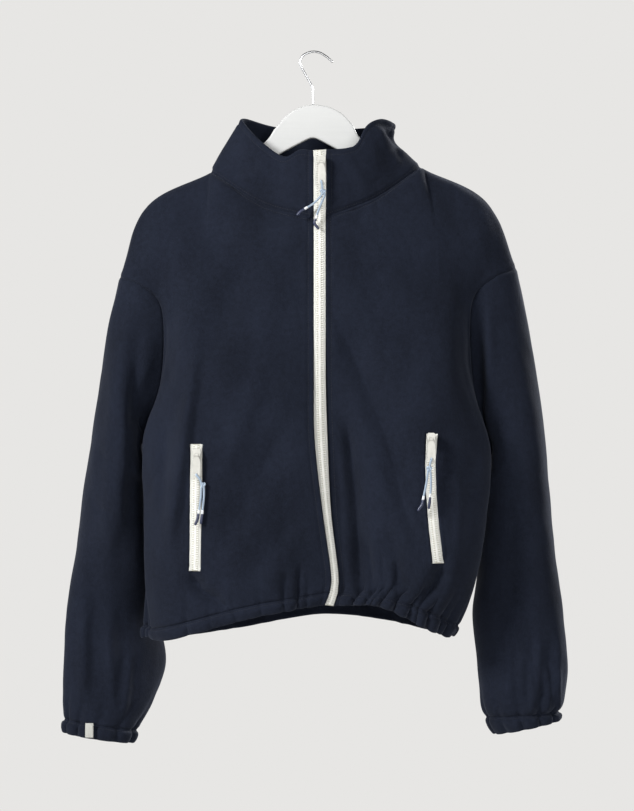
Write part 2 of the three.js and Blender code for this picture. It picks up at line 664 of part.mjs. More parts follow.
// Collar: neck seam from the left zip edge round the back to the right zip edge
function neckSeam() {
  const seam = [];
  for (let j = 0; j <= neckCells; j += 1) seam.push(leftFront[lastRow][j].clone());
  for (let j = shoulderCells + 1; j <= backLast - shoulderCells; j += 1) {
    seam.push(backPanel[lastRow][j].clone());
  }
  for (let j = neckCells - 1; j >= 0; j -= 1) seam.push(rightFront[lastRow][j].clone());
  return seam;
}

function collarGrid() {
  const seam = neckSeam();
  const keys = COLLAR_TOP.map((k) => new THREE.Vector3(k.x, k.y, k.z));
  const bulges = [];
  const top = seam.map((_, j) => {
    let k = 0;
    while (k < COLLAR_TOP.length - 2 && COLLAR_TOP[k + 1].at < j) k += 1;
    const f = (j - COLLAR_TOP[k].at) / (COLLAR_TOP[k + 1].at - COLLAR_TOP[k].at);
    bulges.push(mix(COLLAR_TOP[k].bulge, COLLAR_TOP[k + 1].bulge, clamp01(f)));
    return curveAt(keys, k + clamp01(f));
  });
  const middle = new THREE.Vector3(4, 0, 0);
  const rows = [];
  for (let i = 0; i <= COLLAR_CELLS; i += 1) {
    const t = i / COLLAR_CELLS;
    rows.push(seam.map((p, j) => {
      const q = p.clone().lerp(top[j], t);
      const out = new THREE.Vector3(q.x - middle.x, q.y - middle.y, 0).normalize();
      return q.addScaledVector(out, bulges[j] * Math.sin(Math.PI * t));
    }));
  }
  // The seam runs from the wearer's right front leftwards, so it is turned to face out
  return rows.map((line) => [...line].reverse());
}

const collar = collarGrid();

// Casings: the upper edge lies on the panel's own edge, the lower edge follows its table
function splitRow(points, parts) {
  const out = [];
  for (let j = 0; j < points.length - 1; j += 1) {
    for (let k = 0; k < parts; k += 1) out.push(points[j].clone().lerp(points[j + 1], k / parts));
  }
  out.push(points[points.length - 1].clone());
  return out;
}

function gatherDepth(p) {
  return HEM_GATHERS.reduce((sum, g) => {
    const d = (p.x - g.x) / g.width;
    return sum - g.depth * Math.exp(-d * d);
  }, 0);
}

function casingGrid(panelEdge, spans, edge, wave) {
  const top = splitRow(panelEdge, CASING_SPLIT);
  const knots = edge.map(vec);
  const across = stops(spans.map((n) => n * CASING_SPLIT));
  const low = across.map((t) => curveAt(knots, t));
  const count = top.length - 1;
  const shape = [low, low.map((p, j) => p.clone().lerp(top[j], 0.5)), top];
  const flat = gridNormals(shape, false);
  return shape.map((line, i) => line.map((p, j) => {
    const ends = smooth(j / 4) * smooth((count - j) / 4);
    const push = [1, 1, 0][i] * wave(p, j / count) + [0, 2.2, 0][i];
    return p.clone().addScaledVector(flat[i][j], push * ends);
  }));
}

const facing = (line, flip) => (flip ? [...line].reverse() : line);
const backWave = (_, t) => -BACK_GATHER.depth
  * (0.5 + 0.5 * Math.sin(2 * Math.PI * BACK_GATHER.count * t + 1.7 * Math.sin(9 * t)));
const hemLeft = casingGrid(
  facing(leftFront[0], true),
  [...FRONT_SPANS].reverse(),
  [...HEM_EDGE.leftFront].reverse(),
  gatherDepth,
);
const hemRight = casingGrid(rightFront[0], FRONT_SPANS, HEM_EDGE.rightFront, gatherDepth);
const hemBack = casingGrid(
  facing(backPanel[0], true),
  [...BACK_SPANS].reverse(),
  [...HEM_EDGE.back].reverse(),
  backWave,
);

function cuffGrid(sleeve, section, outSide) {
  const ring = sleeve[0];
  const count = ring.length;
  const top = splitRow([...ring, ring[0]], CUFF_SPLIT);
  top.pop();
  const total = top.length;
  const low = top.map((_, j) => {
    const turn = outSide > 0 ? count - 1 - j / CUFF_SPLIT : j / CUFF_SPLIT;
    return ringPoint(section, (2 * Math.PI * turn) / count, outSide);
  });
  const shape = [low, low.map((p, j) => p.clone().lerp(top[j], 0.5)), top];
  const flat = gridNormals(shape, true);
  return shape.map((line, i) => line.map((p, j) => {
    const t = j / total;
    const swing = Math.sin(2 * Math.PI * CUFF_GATHER.count * t + 1.3 * Math.sin(7 * t));
    const push = [1, 0.6, 0][i] * CUFF_GATHER.depth * (swing - 0.6) + [0, 2, 0][i];
    return p.clone().addScaledVector(flat[i][j], push);
  }));
}

const leftCuff = cuffGrid(leftSleeve, LEFT_CUFF, -1);
const rightCuff = cuffGrid(rightSleeve, RIGHT_CUFF, 1);

// Cloth pieces with their own thickness
const casingThick = (rows) => (i) => mix(CASING_WALL, FLEECE_WALL, smooth(i / (rows - 1)));
// The cloth is pressed thinner along the armhole and the neck seam
const frontThick = (seam) => (i, j) => {
  const armholeSide = j === seam && i >= UNDERARM_ROW;
  return i === lastRow || armholeSide ? SEAM_WALL : FLEECE_WALL;
};
const backThick = (i, j) => {
  const armholeSide = (j === 0 || j === backLast) && i >= UNDERARM_ROW;
  return i === lastRow || armholeSide ? SEAM_WALL : FLEECE_WALL;
};
const sleeveThick = (rows) => (i) => (i === rows - 1 ? SEAM_WALL : FLEECE_WALL);
const collarThick = (i) => (i === 0 ? SEAM_WALL : COLLAR_WALL);
const pieces = {
  front_left: makeCloth(leftFront.map((l) => facing(l, true)), false, frontThick(0)),
  front_right: makeCloth(rightFront, false, frontThick(seamCol)),
  back: makeCloth(backPanel.map((l) => facing(l, true)), false, backThick),
  sleeve_left: makeCloth(leftSleeve, true, sleeveThick(leftSleeve.length), ARMHOLE_GAP),
  sleeve_right: makeCloth(rightSleeve, true, sleeveThick(rightSleeve.length), ARMHOLE_GAP),
  collar: makeCloth(collar, false, collarThick),
  hem_front_left: makeCloth(hemLeft, false, casingThick(3)),
  hem_front_right: makeCloth(hemRight, false, casingThick(3)),
  hem_back: makeCloth(hemBack, false, casingThick(3)),
  cuff_left: makeCloth(leftCuff, true, casingThick(3)),
  cuff_right: makeCloth(rightCuff, true, casingThick(3)),
};
shareSeams(Object.values(pieces));

// Casing points between two panel points take the blend of those points' normals
function blendTopNormals(piece, parts, closed) {
  const top = piece.normals[piece.normals.length - 1];
  const count = top.length;
  for (let j = 0; j < count; j += 1) {
    const part = j % parts;
    const a = top[j - part];
    const b = top[closed ? (j - part + parts) % count : Math.min(count - 1, j - part + parts)];
    if (part > 0) top[j] = a.clone().lerp(b, part / parts);
  }
}
["hem_front_left", "hem_front_right", "hem_back"].forEach((name) => {
  blendTopNormals(pieces[name], CASING_SPLIT, false);
});
["cuff_left", "cuff_right"].forEach((name) => blendTopNormals(pieces[name], CUFF_SPLIT, true));

// Depth and normal of a front panel's outer face at a place seen from the front
function onPanel(piece, x, z) {
  const face = piece.grid.map((line, i) => line.map((p, j) => p.clone()
    .addScaledVector(piece.normals[i][j], piece.thick[i][j] / 2)));
  let best = null;
  for (let i = 0; i < face.length - 1; i += 1) {
    for (let j = 0; j < face[0].length - 1; j += 1) {
      const q = [face[i][j], face[i][j + 1], face[i + 1][j + 1], face[i + 1][j]];
      [[0, 1, 2], [0, 2, 3]].forEach((tri) => {
        const [a, b, c] = tri.map((k) => q[k]);
        const det = (b.x - a.x) * (c.z - a.z) - (c.x - a.x) * (b.z - a.z);
        const s = ((x - a.x) * (c.z - a.z) - (c.x - a.x) * (z - a.z)) / det;
        const t = ((b.x - a.x) * (z - a.z) - (x - a.x) * (b.z - a.z)) / det;
        if (s < -1e-6 || t < -1e-6 || s + t > 1 + 1e-6) return;
        const y = a.y + s * (b.y - a.y) + t * (c.y - a.y);
        if (best === null || y < best) best = y;
      });
    }
  }
  return best;
}

// Front panels with the windows of the pocket zips
function pocketWindow(rows, spare) {
  const outline = new THREE.Shape();
  rows.forEach((r, k) => {
    const z = r.z + (k === 0 ? spare : 0) - (k === rows.length - 1 ? spare : 0);
    if (k === 0) outline.moveTo(r.x - r.half - spare, z);
    else outline.lineTo(r.x - r.half - spare, z);
  });
  [...rows].reverse().forEach((r, k) => {
    const z = r.z - (k === 0 ? spare : 0) + (k === rows.length - 1 ? spare : 0);
    outline.lineTo(r.x + r.half + spare, z);
  });
  const geometry = new THREE.ExtrudeGeometry(outline, { depth: 90, bevelEnabled: false });
  geometry.rotateX(Math.PI / 2);
  geometry.translate(0, -40, 0);
  return geometry;
}

function pocketStrip(piece, rows) {
  const grid = [...rows].reverse().map((r) => [-1, 0, 1].map((side) => {
    const x = r.x + side * r.half;
    const y = onPanel(piece, x, r.z);
    return new THREE.Vector3(x, y + FLEECE_WALL / 2, r.z);
  }));
  const strip = makeCloth(grid, false, POCKET_TAPE_THICK);
  strip.normals = strip.normals.map((line) => line.map(() => new THREE.Vector3(0, -1, 0)));
  return strip;
}

// A piece's solid without what lies within the seam gap of its neighbours
function trimmed(name, neighbours) {
  let solid = toSolid(clothGeometry(pieces[name]));
  neighbours.forEach((other) => {
    const piece = pieces[other];
    const thick = piece.thick.map((line) => line.map((t) => t + 2 * SEAM_GAP));
    solid = solid.subtract(toSolid(clothGeometry({ ...piece, thick })));
  });
  const parts = solid.decompose().sort((a, b) => b.volume() - a.volume());
  return parts[0];
}

const pocketStrips = {
  left: pocketStrip(pieces.front_left, POCKETS.left),
  right: pocketStrip(pieces.front_right, POCKETS.right),
};
const TRIMS = {
  sleeve_left: ["front_left", "back"],
  sleeve_right: ["front_right", "back"],
  collar: ["front_left", "front_right", "back"],
};
Object.entries(pieces).forEach(([name, piece]) => {
  if (TRIMS[name]) {
    addPiece(name, fromSolid(trimmed(name, TRIMS[name])), "fleece");
    return;
  }
  const geometry = clothGeometry(piece);
  const side = { front_left: "left", front_right: "right" }[name];
  if (!side) {
    addPiece(name, geometry, "fleece");
    return;
  }
  const cut = toSolid(geometry).subtract(toSolid(pocketWindow(POCKETS[side], SEAM_GAP)));
  addPiece(name, fromSolid(cut), "fleece");
  addPiece(`pocket_zip_${side}`, clothGeometry(pocketStrips[side]), "teeth");
});

// Front zip: the two front edges from the hem casing up to the top of the collar
const collarLast = collar[0].length - 1;
const hemEdgeLeft = hemLeft.map((line) => line[line.length - 1]).slice(0, 2);
const hemEdgeRight = hemRight.map((line) => line[0]).slice(0, 2);
const zipLeft = [
  ...hemEdgeLeft,
  ...leftFront.map((line) => line[0]),
  ...collar.slice(1).map((line) => line[collarLast]),
];
const zipRight = [
  ...hemEdgeRight,
  ...rightFront.map((line) => line[0]),
  ...collar.slice(1).map((line) => line[0]),
];

function zipStrip(from, to, forward, thick) {
  const grid = zipLeft.map((a, i) => {
    const b = zipRight[i];
    return [from, to].map((t) => a.clone().lerp(b, t));
  });
  const strip = makeCloth(grid, false, thick);
  strip.grid = grid.map((line, i) => line.map((p, j) => p.clone()
    .addScaledVector(strip.normals[i][j], forward)));
  return strip;
}

addPiece("zip_tape_left", clothGeometry(zipStrip(0.06, 0.5, 0, TAPE_THICK)), "tape");
addPiece("zip_tape_right", clothGeometry(zipStrip(0.5, 0.94, 0, TAPE_THICK)), "tape");
const chainShare = CHAIN_WIDTH / 14 / 2;
const chainForward = TAPE_THICK / 2 + SEAM_GAP + CHAIN_THICK / 2;
const chain = zipStrip(0.5 - chainShare, 0.5 + chainShare, chainForward, CHAIN_THICK);
addPiece("zip_chain", clothGeometry(chain), "teeth");

// Sliders with their pull tabs and cords. Each hangs from a pin that runs left to right.
const PULLS = {
  front: {
    at: [9.9, -135.5],
    knot: [2.0, -35.6],
    tails: [
      [[0, 0], [-5, -6], [-12, -12], [-20.5, -17]],
      [[0.5, -0.5], [-3, -9], [-7, -19], [-10, -28.5]],
    ],
    tips: [[-7.8, -6.2], [2.8, -10.7]],
  },
  left: {
    at: [-135.3, -480],
    knot: [7.2, -35.2],
    tails: [
      [[0, 0], [-0.6, -10], [-1.8, -20], [-3.4, -30]],
      [[0, 0], [0, -9], [-1, -20], [-2.2, -30.5]],
    ],
    tips: [[-3.5, -12], [-1.2, -10]],
  },
  right: {
    at: [137.6, -461.5],
    knot: [-2.6, -35.0],
    tails: [
      [[0, 0], [-1.4, -11], [-3.5, -22], [-5.8, -32.5]],
      [[0, 0], [0.6, -10], [0.4, -20], [-0.4, -29.5]],
    ],
    tips: [[-5.3, -11.4], [-1.5, -12]],
  },
};

function boxAt(width, depth, height, x, y, z) {
  const geometry = new THREE.BoxGeometry(width, depth, height);
  geometry.translate(x, y, z);
  return geometry;
}

function rodAt(radius, length, x, y, z, sides = 16) {
  const geometry = new THREE.CylinderGeometry(radius, radius, length, sides);
  geometry.rotateZ(Math.PI / 2);
  geometry.translate(x, y, z);
  return geometry;
}

// Face nearest the front within half a width of x and from z down to z - drop
function nearest(piece, x, z, half, drop) {
  const found = [];
  for (let down = 0; down <= drop; down += 2.7) {
    [-1, -0.5, 0, 0.5, 1].forEach((share) => {
      const y = onPanel(piece, x + share * half, z - down);
      if (y !== null) found.push(y);
    });
  }
  return Math.min(...found);
}

// Slider body seen from the front: round at the crown and narrower at the foot
function sliderPlate(seat, depth) {
  const w = SLIDER_WIDTH / 2;
  const h = SLIDER_HEIGHT / 2;
  const outline = new THREE.Shape();
  outline.moveTo(-w * 0.72, -h);
  outline.lineTo(w * 0.72, -h);
  outline.lineTo(w * 0.8, -h * 0.1);
  outline.quadraticCurveTo(w * 1.1, h * 0.7, w * 0.6, h);
  outline.lineTo(-w * 0.6, h);
  outline.quadraticCurveTo(-w * 1.1, h * 0.7, -w * 0.8, -h * 0.1);
  const geometry = new THREE.ExtrudeGeometry(outline, {
    depth,
    bevelEnabled: false,
    curveSegments: 4,
  });
  geometry.rotateX(Math.PI / 2);
  geometry.translate(seat.x, seat.y + depth, seat.z);
  return geometry;
}

function tube(points, radius, steps, sides = 8) {
  const curve = new THREE.CatmullRomCurve3(points);
  const ring = new THREE.Shape();
  for (let k = 0; k < sides; k += 1) {
    const a = (2 * Math.PI * k) / sides;
    const x = radius * Math.cos(a);
    const y = radius * Math.sin(a);
    if (k === 0) ring.moveTo(x, y);
    else ring.lineTo(x, y);
  }
  return new THREE.ExtrudeGeometry(ring, { steps, bevelEnabled: false, extrudePath: curve });
}

Object.entries(PULLS).forEach(([side, pull]) => {
  const [x0, z0] = pull.at;
  const under = { front: chain, left: pieces.front_left, right: pieces.front_right }[side];
  const seatFace = { front: chain, ...pocketStrips }[side];
  const top = z0 + SLIDER_HEIGHT / 2;
  const crownFace = nearest(seatFace, x0, top, 0.4 * SLIDER_WIDTH, SLIDER_HEIGHT) - SEAM_GAP;
  const cordFace = nearest(under, x0, z0 - 20, 7, 60);
  const pinY = Math.min(cordFace - KNOT_RADIUS - 0.5, crownFace - SLIDER_PLATE - EYE_RADIUS - 0.5);
  const seat = new THREE.Vector3(x0, pinY + EYE_RADIUS + 0.5, z0);
  const pinZ = seat.z - 0.5;
  const lugGap = EYE_WIDTH / 2 + 0.35;
  const lugDepth = EYE_RADIUS + 0.5 + PIN_RADIUS + 0.6;
  let slider = toSolid(sliderPlate(seat, crownFace - seat.y));
  [-1, 1].forEach((s) => {
    const x = seat.x + s * (lugGap + 0.7);
    slider = slider.add(toSolid(boxAt(1.4, lugDepth + 0.4, 3.6, x, seat.y - lugDepth / 2 + 0.2, pinZ)));
  });
  slider = slider.add(toSolid(rodAt(PIN_RADIUS, 2 * lugGap + 0.6, seat.x, pinY, pinZ)));
  addPiece(`slider_${side}`, fromSolid(slider), "teeth");

  // Tab: an eye round the pin and a flat plate with a hole for the cord
  const plateTop = pinZ - EYE_RADIUS + 0.6;
  const plate = new THREE.Shape();
  const half = TAB_WIDTH / 2;
  plate.moveTo(-EYE_WIDTH / 2, 0);
  plate.lineTo(-half, -5);
  plate.lineTo(-half, -TAB_LENGTH + 3.5);
  plate.quadraticCurveTo(-half, -TAB_LENGTH, -half + 3, -TAB_LENGTH);
  plate.lineTo(half - 3, -TAB_LENGTH);
  plate.quadraticCurveTo(half, -TAB_LENGTH, half, -TAB_LENGTH + 3.5);
  plate.lineTo(half, -5);
  plate.lineTo(EYE_WIDTH / 2, 0);
  const hole = new THREE.Path();
  hole.absarc(0, -TAB_LENGTH + 4.4, TAB_HOLE, 0, 2 * Math.PI, true);
  plate.holes.push(hole);
  const flat = new THREE.ExtrudeGeometry(plate, {
    depth: TAB_THICK,
    bevelEnabled: false,
    curveSegments: 4,
  });
  flat.rotateX(Math.PI / 2);
  flat.translate(seat.x, pinY + TAB_THICK / 2, plateTop);
  const eye = toSolid(rodAt(EYE_RADIUS, EYE_WIDTH, seat.x, pinY, pinZ));
  const bore = toSolid(rodAt(PIN_RADIUS + 0.4, EYE_WIDTH + 4, seat.x, pinY, pinZ));
  const tab = toSolid(flat).add(eye).subtract(bore);
  addPiece(`pull_tab_${side}`, fromSolid(tab), "teeth");

  // Cord: a loop through the hole, a knot, two tails and their tips
  const holeZ = plateTop - TAB_LENGTH + 4.4;
  const knot = new THREE.Vector3(seat.x + pull.knot[0], pinY, seat.z + pull.knot[1]);
  const behind = pinY + TAB_THICK / 2 + CORD_RADIUS + 0.25;
  const before = pinY - TAB_THICK / 2 - CORD_RADIUS - 0.25;
  const aim = new THREE.Vector3(seat.x, pinY, holeZ).sub(knot).normalize();
  const start = knot.clone().addScaledVector(aim, KNOT_RADIUS + 0.1);
  const low = new THREE.Vector3(0, 1.35, 0);
  const loop = [
    start.clone().sub(low),
    new THREE.Vector3(mix(start.x, seat.x, 0.35), before, mix(start.z, holeZ, 0.5)),
    new THREE.Vector3(seat.x, before, holeZ - 0.4),
    new THREE.Vector3(seat.x, pinY, holeZ + 0.5),
    new THREE.Vector3(seat.x, behind, holeZ - 0.4),
    new THREE.Vector3(mix(start.x, seat.x, 0.35), behind, mix(start.z, holeZ, 0.5)),
    start.clone().add(low),
  ];
  addPiece(`cord_loop_${side}`, tube(loop, CORD_RADIUS * 0.8, 9), "cord");
  const ball = new THREE.SphereGeometry(KNOT_RADIUS, 10, 6);
  ball.translate(knot.x, knot.y, knot.z);
  addPiece(`cord_knot_${side}`, ball, "cord");
  pull.tails.forEach((tail, k) => {
    const lean = k === 0 ? -1 : 1;
    const points = tail.map(([x, z]) => new THREE.Vector3(
      knot.x + x + lean * 1.5,
      knot.y,
      knot.z + z - KNOT_RADIUS - 0.3,
    ));
    const end = points[points.length - 1];
    const dir = end.clone().sub(points[points.length - 2]).normalize();
    const letter = "ab"[k];
    addPiece(`cord_tail_${side}_${letter}`, tube(points, CORD_RADIUS, 7), "cord");
    const tipStart = end.clone().addScaledVector(dir, 0.3);
    const [tx, tz] = pull.tips[k];
    const tipEnd = tipStart.clone().add(new THREE.Vector3(tx, 0, tz));
    const tipMid = tipStart.clone().addScaledVector(dir, Math.hypot(tx, tz) * 0.45);
    addPiece(`cord_tip_${side}_${letter}`, tube([tipStart, tipMid, tipEnd], TIP_RADIUS, 3), "tip");
  });
});

// Folded label on the front of the left cuff
const LABEL = { x: -266, top: -801, width: 10, height: 17, thick: 1.1, rows: 4 };
{
  const grid = [];
  for (let i = 0; i <= LABEL.rows; i += 1) {
    const z = LABEL.top - LABEL.height * (1 - i / LABEL.rows);
    const faces = [];
    [-5, 0, 5].forEach((dx) => [-3, 0, 3].forEach((dz) => {
      const y = onPanel(pieces.cuff_left, LABEL.x + dx, z + dz);
      const sleeve = onPanel(pieces.sleeve_left, LABEL.x + dx, z + dz);
      if (y !== null) faces.push(y);
      if (sleeve !== null) faces.push(sleeve);
    }));
    const y = Math.min(...faces) - SEAM_GAP - LABEL.thick / 2;
    grid.push([-1, 1].map((side) => new THREE.Vector3(LABEL.x + (side * LABEL.width) / 2, y, z)));
  }
  addPiece("cuff_label", clothGeometry(makeCloth(grid, false, LABEL.thick)), "label");
}

// Hanger board: outline of the upper and lower edges, then rounded along the top
const BOARD_TOP = [
  { x: -195, z: -189.3 },
  { x: -182, z: -180.7 },
  { x: -122, z: -148.5 },
  { x: -100, z: -132.6 },
  { x: -58, z: -107.4 },
  { x: -45.6, z: -91 },
  { x: -30.6, z: -74.4 },
  { x: -15.6, z: -65.4 },
  { x: 0, z: -62.4 },
  { x: 18, z: -64.6 },
  { x: 34, z: -72.4 },
  { x: 47.4, z: -86.4 },
  { x: 58, z: -103.6 },
  { x: 100, z: -126.6 },
  { x: 130, z: -142.5 },
  { x: 194, z: -176 },
  { x: 203, z: -183.3 },
];
const BOARD_LOW = [
  { x: 202, z: -202 },
  { x: 187, z: -201 },
  { x: 58, z: -132 },
  { x: 12, z: -107 },
  { x: 0, z: -102.5 },
  { x: -12, z: -107 },
  { x: -58, z: -132 },
  { x: -178, z: -203 },
  { x: -193, z: -207 },
];
{
  const outline = new THREE.Shape();
  [...BOARD_TOP, ...BOARD_LOW].forEach((p, k) => {
    if (k === 0) outline.moveTo(p.x, p.z);
    else outline.lineTo(p.x, p.z);
  });
  const board = new THREE.ExtrudeGeometry(outline, {
    depth: BOARD_THICK - 4,
    bevelEnabled: true,
    bevelThickness: 2,
    bevelSize: 2,
    bevelOffset: -2,
    bevelSegments: 1,
  });
  board.rotateX(Math.PI / 2);
  board.translate(0, (BOARD_THICK - 4) / 2, 0);
  addPiece("hanger_board", board, "paint");
}

// Hook wire from the board up round the crown to its tip
const HOOK = [
  { x: 0, z: -62.1 },
  { x: 0, z: -50 },
  { x: -1.2, z: -41 },
  { x: -8, z: -28 },
  { x: -14.2, z: -17 },
  { x: -15.4, z: -11 },
  { x: -12.6, z: -4 },
  { x: -6.6, z: -0.2 },
  { x: 0, z: HOOK_RADIUS },
  { x: 8, z: 0.2 },
  { x: 16, z: -4.4 },
  { x: 23, z: -10.5 },
];
addPiece("hanger_hook", tube(HOOK.map((p) => new THREE.Vector3(p.x, 0, p.z)), HOOK_RADIUS, 28, 8), "steel");

export default jacket;
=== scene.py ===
import json
import math

import bpy
import numpy as np
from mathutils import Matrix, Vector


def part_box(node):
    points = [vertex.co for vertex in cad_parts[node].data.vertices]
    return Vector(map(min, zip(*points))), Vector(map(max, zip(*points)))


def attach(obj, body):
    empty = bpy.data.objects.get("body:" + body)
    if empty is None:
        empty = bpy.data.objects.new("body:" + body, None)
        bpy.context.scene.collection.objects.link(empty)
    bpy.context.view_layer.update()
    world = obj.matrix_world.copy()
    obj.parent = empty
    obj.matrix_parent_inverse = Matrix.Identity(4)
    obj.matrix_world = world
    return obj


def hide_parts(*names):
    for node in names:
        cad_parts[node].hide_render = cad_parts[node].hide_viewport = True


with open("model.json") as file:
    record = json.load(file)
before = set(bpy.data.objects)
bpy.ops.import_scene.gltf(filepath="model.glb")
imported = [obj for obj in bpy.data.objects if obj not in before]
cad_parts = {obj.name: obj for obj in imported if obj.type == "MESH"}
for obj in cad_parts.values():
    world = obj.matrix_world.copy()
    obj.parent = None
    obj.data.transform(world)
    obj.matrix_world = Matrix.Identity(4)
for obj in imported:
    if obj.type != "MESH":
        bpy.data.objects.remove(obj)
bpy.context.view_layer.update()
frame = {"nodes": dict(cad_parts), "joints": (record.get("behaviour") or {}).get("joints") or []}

# A fleece jacket on a wooden hanger. Tables are in mm: x to the right, y away from the front, z up.

# Camera at the height of the jacket's middle, 3.2 m in front of the hanger
CAMERA_AT = (0.0048, -3.2, -0.423)
CAMERA_LENS = 118.4
camera = bpy.data.objects.new("camera", bpy.data.cameras.new("camera"))
camera.data.lens = CAMERA_LENS
camera.data.sensor_width = 36
camera.location = CAMERA_AT
camera.rotation_euler = (math.radians(90), 0, 0)
bpy.context.scene.collection.objects.link(camera)
bpy.context.scene.camera = camera


# Materials
def new_material(name, colour, roughness, metallic=0.0, **extra):
    made = bpy.data.materials.new(name)
    made.use_nodes = True
    values = {"Base_Color": (*colour, 1), "Roughness": roughness, "Metallic": metallic, **extra}
    for socket, value in values.items():
        shader_of(made).inputs[socket.replace("_", " ")].default_value = value
    return made


def add_node(material, kind, **values):
    made = material.node_tree.nodes.new(kind)
    for key, value in values.items():
        if key in made.inputs:
            made.inputs[key].default_value = value
        else:
            setattr(made, key, value)
    return made


def wire(material, source, out, target, into):
    material.node_tree.links.new(source.outputs[out], target.inputs[into])


def shader_of(material):
    return material.node_tree.nodes["Principled BSDF"]


def placed(material, texture, coords, stretch):
    """Sets a texture in object or UV coordinates."""
    place = add_node(material, "ShaderNodeTexCoord")
    mapping = add_node(material, "ShaderNodeMapping")
    mapping.inputs["Scale"].default_value = stretch
    wire(material, place, coords, mapping, "Vector")
    wire(material, mapping, "Vector", texture, "Vector")
    return texture


def noise(material, scale, detail=3.0, roughness=0.55, stretch=(1, 1, 1)):
    texture = add_node(material, "ShaderNodeTexNoise", Scale=scale, Detail=detail, Roughness=roughness)
    return placed(material, texture, "Object", stretch)


def wave(material, stretch):
    """Bands across the piece's own UV, stretch of them to the metre."""
    return placed(material, add_node(material, "ShaderNodeTexWave", Scale=1, Distortion=0.0), "UV", stretch)


def tint(material, sources, ramp_ends):
    """Colour between two ends by the weighted sum of the sources."""
    ramp = add_node(material, "ShaderNodeValToRGB")
    for element, (position, colour) in zip(ramp.color_ramp.elements, ramp_ends):
        element.position = position
        element.color = (*colour, 1)
    wire(material, combine(material, sources), 0, ramp, "Fac")
    wire(material, ramp, "Color", shader_of(material), "Base Color")


def combine(material, sources):
    """Weighted sum of textures. Each source is a node with its weight."""
    total = None
    for texture, weight in sources:
        part = add_node(material, "ShaderNodeMath", operation="MULTIPLY")
        part.inputs[1].default_value = weight
        wire(material, texture, "Fac", part, 0)
        if total is None:
            total = part
            continue
        both = add_node(material, "ShaderNodeMath", operation="ADD")
        wire(material, total, 0, both, 0)
        wire(material, part, 0, both, 1)
        total = both
    return total


def bump(material, sources, distance, strength=1.0):
    made = add_node(material, "ShaderNodeBump", Distance=distance, Strength=strength)
    wire(material, combine(material, sources), 0, made, "Height")
    wire(material, made, "Normal", shader_of(material), "Normal")


def roughen(material, texture, low, high):
    span = add_node(material, "ShaderNodeMapRange")
    span.inputs["To Min"].default_value = low
    span.inputs["To Max"].default_value = high
    wire(material, texture, "Fac", span, "Value")
    wire(material, span, "Result", shader_of(material), "Roughness")


def fleece_material(name, light, dark, fuzz):
    made = new_material(name, light, 0.95, Sheen_Weight=fuzz, Sheen_Roughness=0.42,
                        Sheen_Tint=(0.62, 0.70, 0.92, 1), Specular_IOR_Level=0.12)
    pile = noise(made, 620, 4, 0.7)
    pills = noise(made, 190, 3, 0.6)
    brushed = noise(made, 22, 3, 0.5, (1, 1, 0.45))
    tint(made, [(pile, 0.40), (pills, 0.25), (brushed, 0.35)], [(0.36, dark), (0.64, light)])
    bump(made, [(pile, 0.62), (pills, 0.38)], 0.0009, 0.9)
    return made


FLEECE = fleece_material("fleece", (0.0096, 0.0127, 0.0232), (0.0037, 0.0051, 0.0099), 0.07)

THREAD = new_material("thread", (0.006, 0.008, 0.014), 0.75)
thread_twist = noise(THREAD, 2200, 2)
tint(THREAD, [(thread_twist, 1)], [(0.4, (0.004, 0.005, 0.010)), (0.6, (0.008, 0.010, 0.017))])
bump(THREAD, [(thread_twist, 1)], 0.0002)

TAPE = new_material("zip_tape", (0.65, 0.65, 0.61), 0.85, Sheen_Weight=0.15)
tape_rows = wave(TAPE, (700, 0, 0))
tape_picks = wave(TAPE, (0, 1100, 0))
tape_soil = noise(TAPE, 60, 3)
tint(TAPE, [(tape_rows, 0.3), (tape_picks, 0.3), (tape_soil, 0.4)],
     [(0.3, (0.60, 0.60, 0.56)), (0.7, (0.70, 0.70, 0.66))])
bump(TAPE, [(tape_rows, 0.5), (tape_picks, 0.5)], 0.0003)

TEETH = new_material("zip_teeth", (0.68, 0.68, 0.65), 0.38, Specular_IOR_Level=0.45)
teeth_soil = noise(TEETH, 160, 3)
tint(TEETH, [(teeth_soil, 1)], [(0.3, (0.65, 0.65, 0.61)), (0.7, (0.71, 0.71, 0.68))])
roughen(TEETH, noise(TEETH, 900, 2), 0.3, 0.5)
bump(TEETH, [(noise(TEETH, 1500, 2), 1)], 0.00008)

# Greyer, darker tape under the teeth: painted shade that stands in for the shadows in the gaps between the
# teeth
GAP_SHADE = new_material("zip_core", (0.43, 0.42, 0.37), 0.9)
gap_shade_mottle = noise(GAP_SHADE, 700, 3)
tint(GAP_SHADE, [(gap_shade_mottle, 1)], [(0.3, (0.39, 0.38, 0.33)), (0.7, (0.47, 0.46, 0.40))])
bump(GAP_SHADE, [(gap_shade_mottle, 1)], 0.0001)

ENAMEL = new_material("slider_enamel", (0.47, 0.465, 0.43), 0.34, Specular_IOR_Level=0.5)
enamel_soil = noise(ENAMEL, 200, 3)
tint(ENAMEL, [(enamel_soil, 1)], [(0.3, (0.44, 0.435, 0.40)), (0.7, (0.50, 0.495, 0.46))])
roughen(ENAMEL, noise(ENAMEL, 900, 2), 0.28, 0.45)
bump(ENAMEL, [(noise(ENAMEL, 1500, 2), 1)], 0.00006)

CORD = new_material("pull_cord", (0.36, 0.46, 0.58), 0.8, Sheen_Weight=0.3)
braid_a = wave(CORD, (420, 260, 0))
braid_b = wave(CORD, (-420, 260, 0))
tint(CORD, [(braid_a, 0.5), (braid_b, 0.5)], [(0.2, (0.22, 0.30, 0.41)), (0.8, (0.46, 0.56, 0.67))])
bump(CORD, [(braid_a, 0.5), (braid_b, 0.5)], 0.0004)

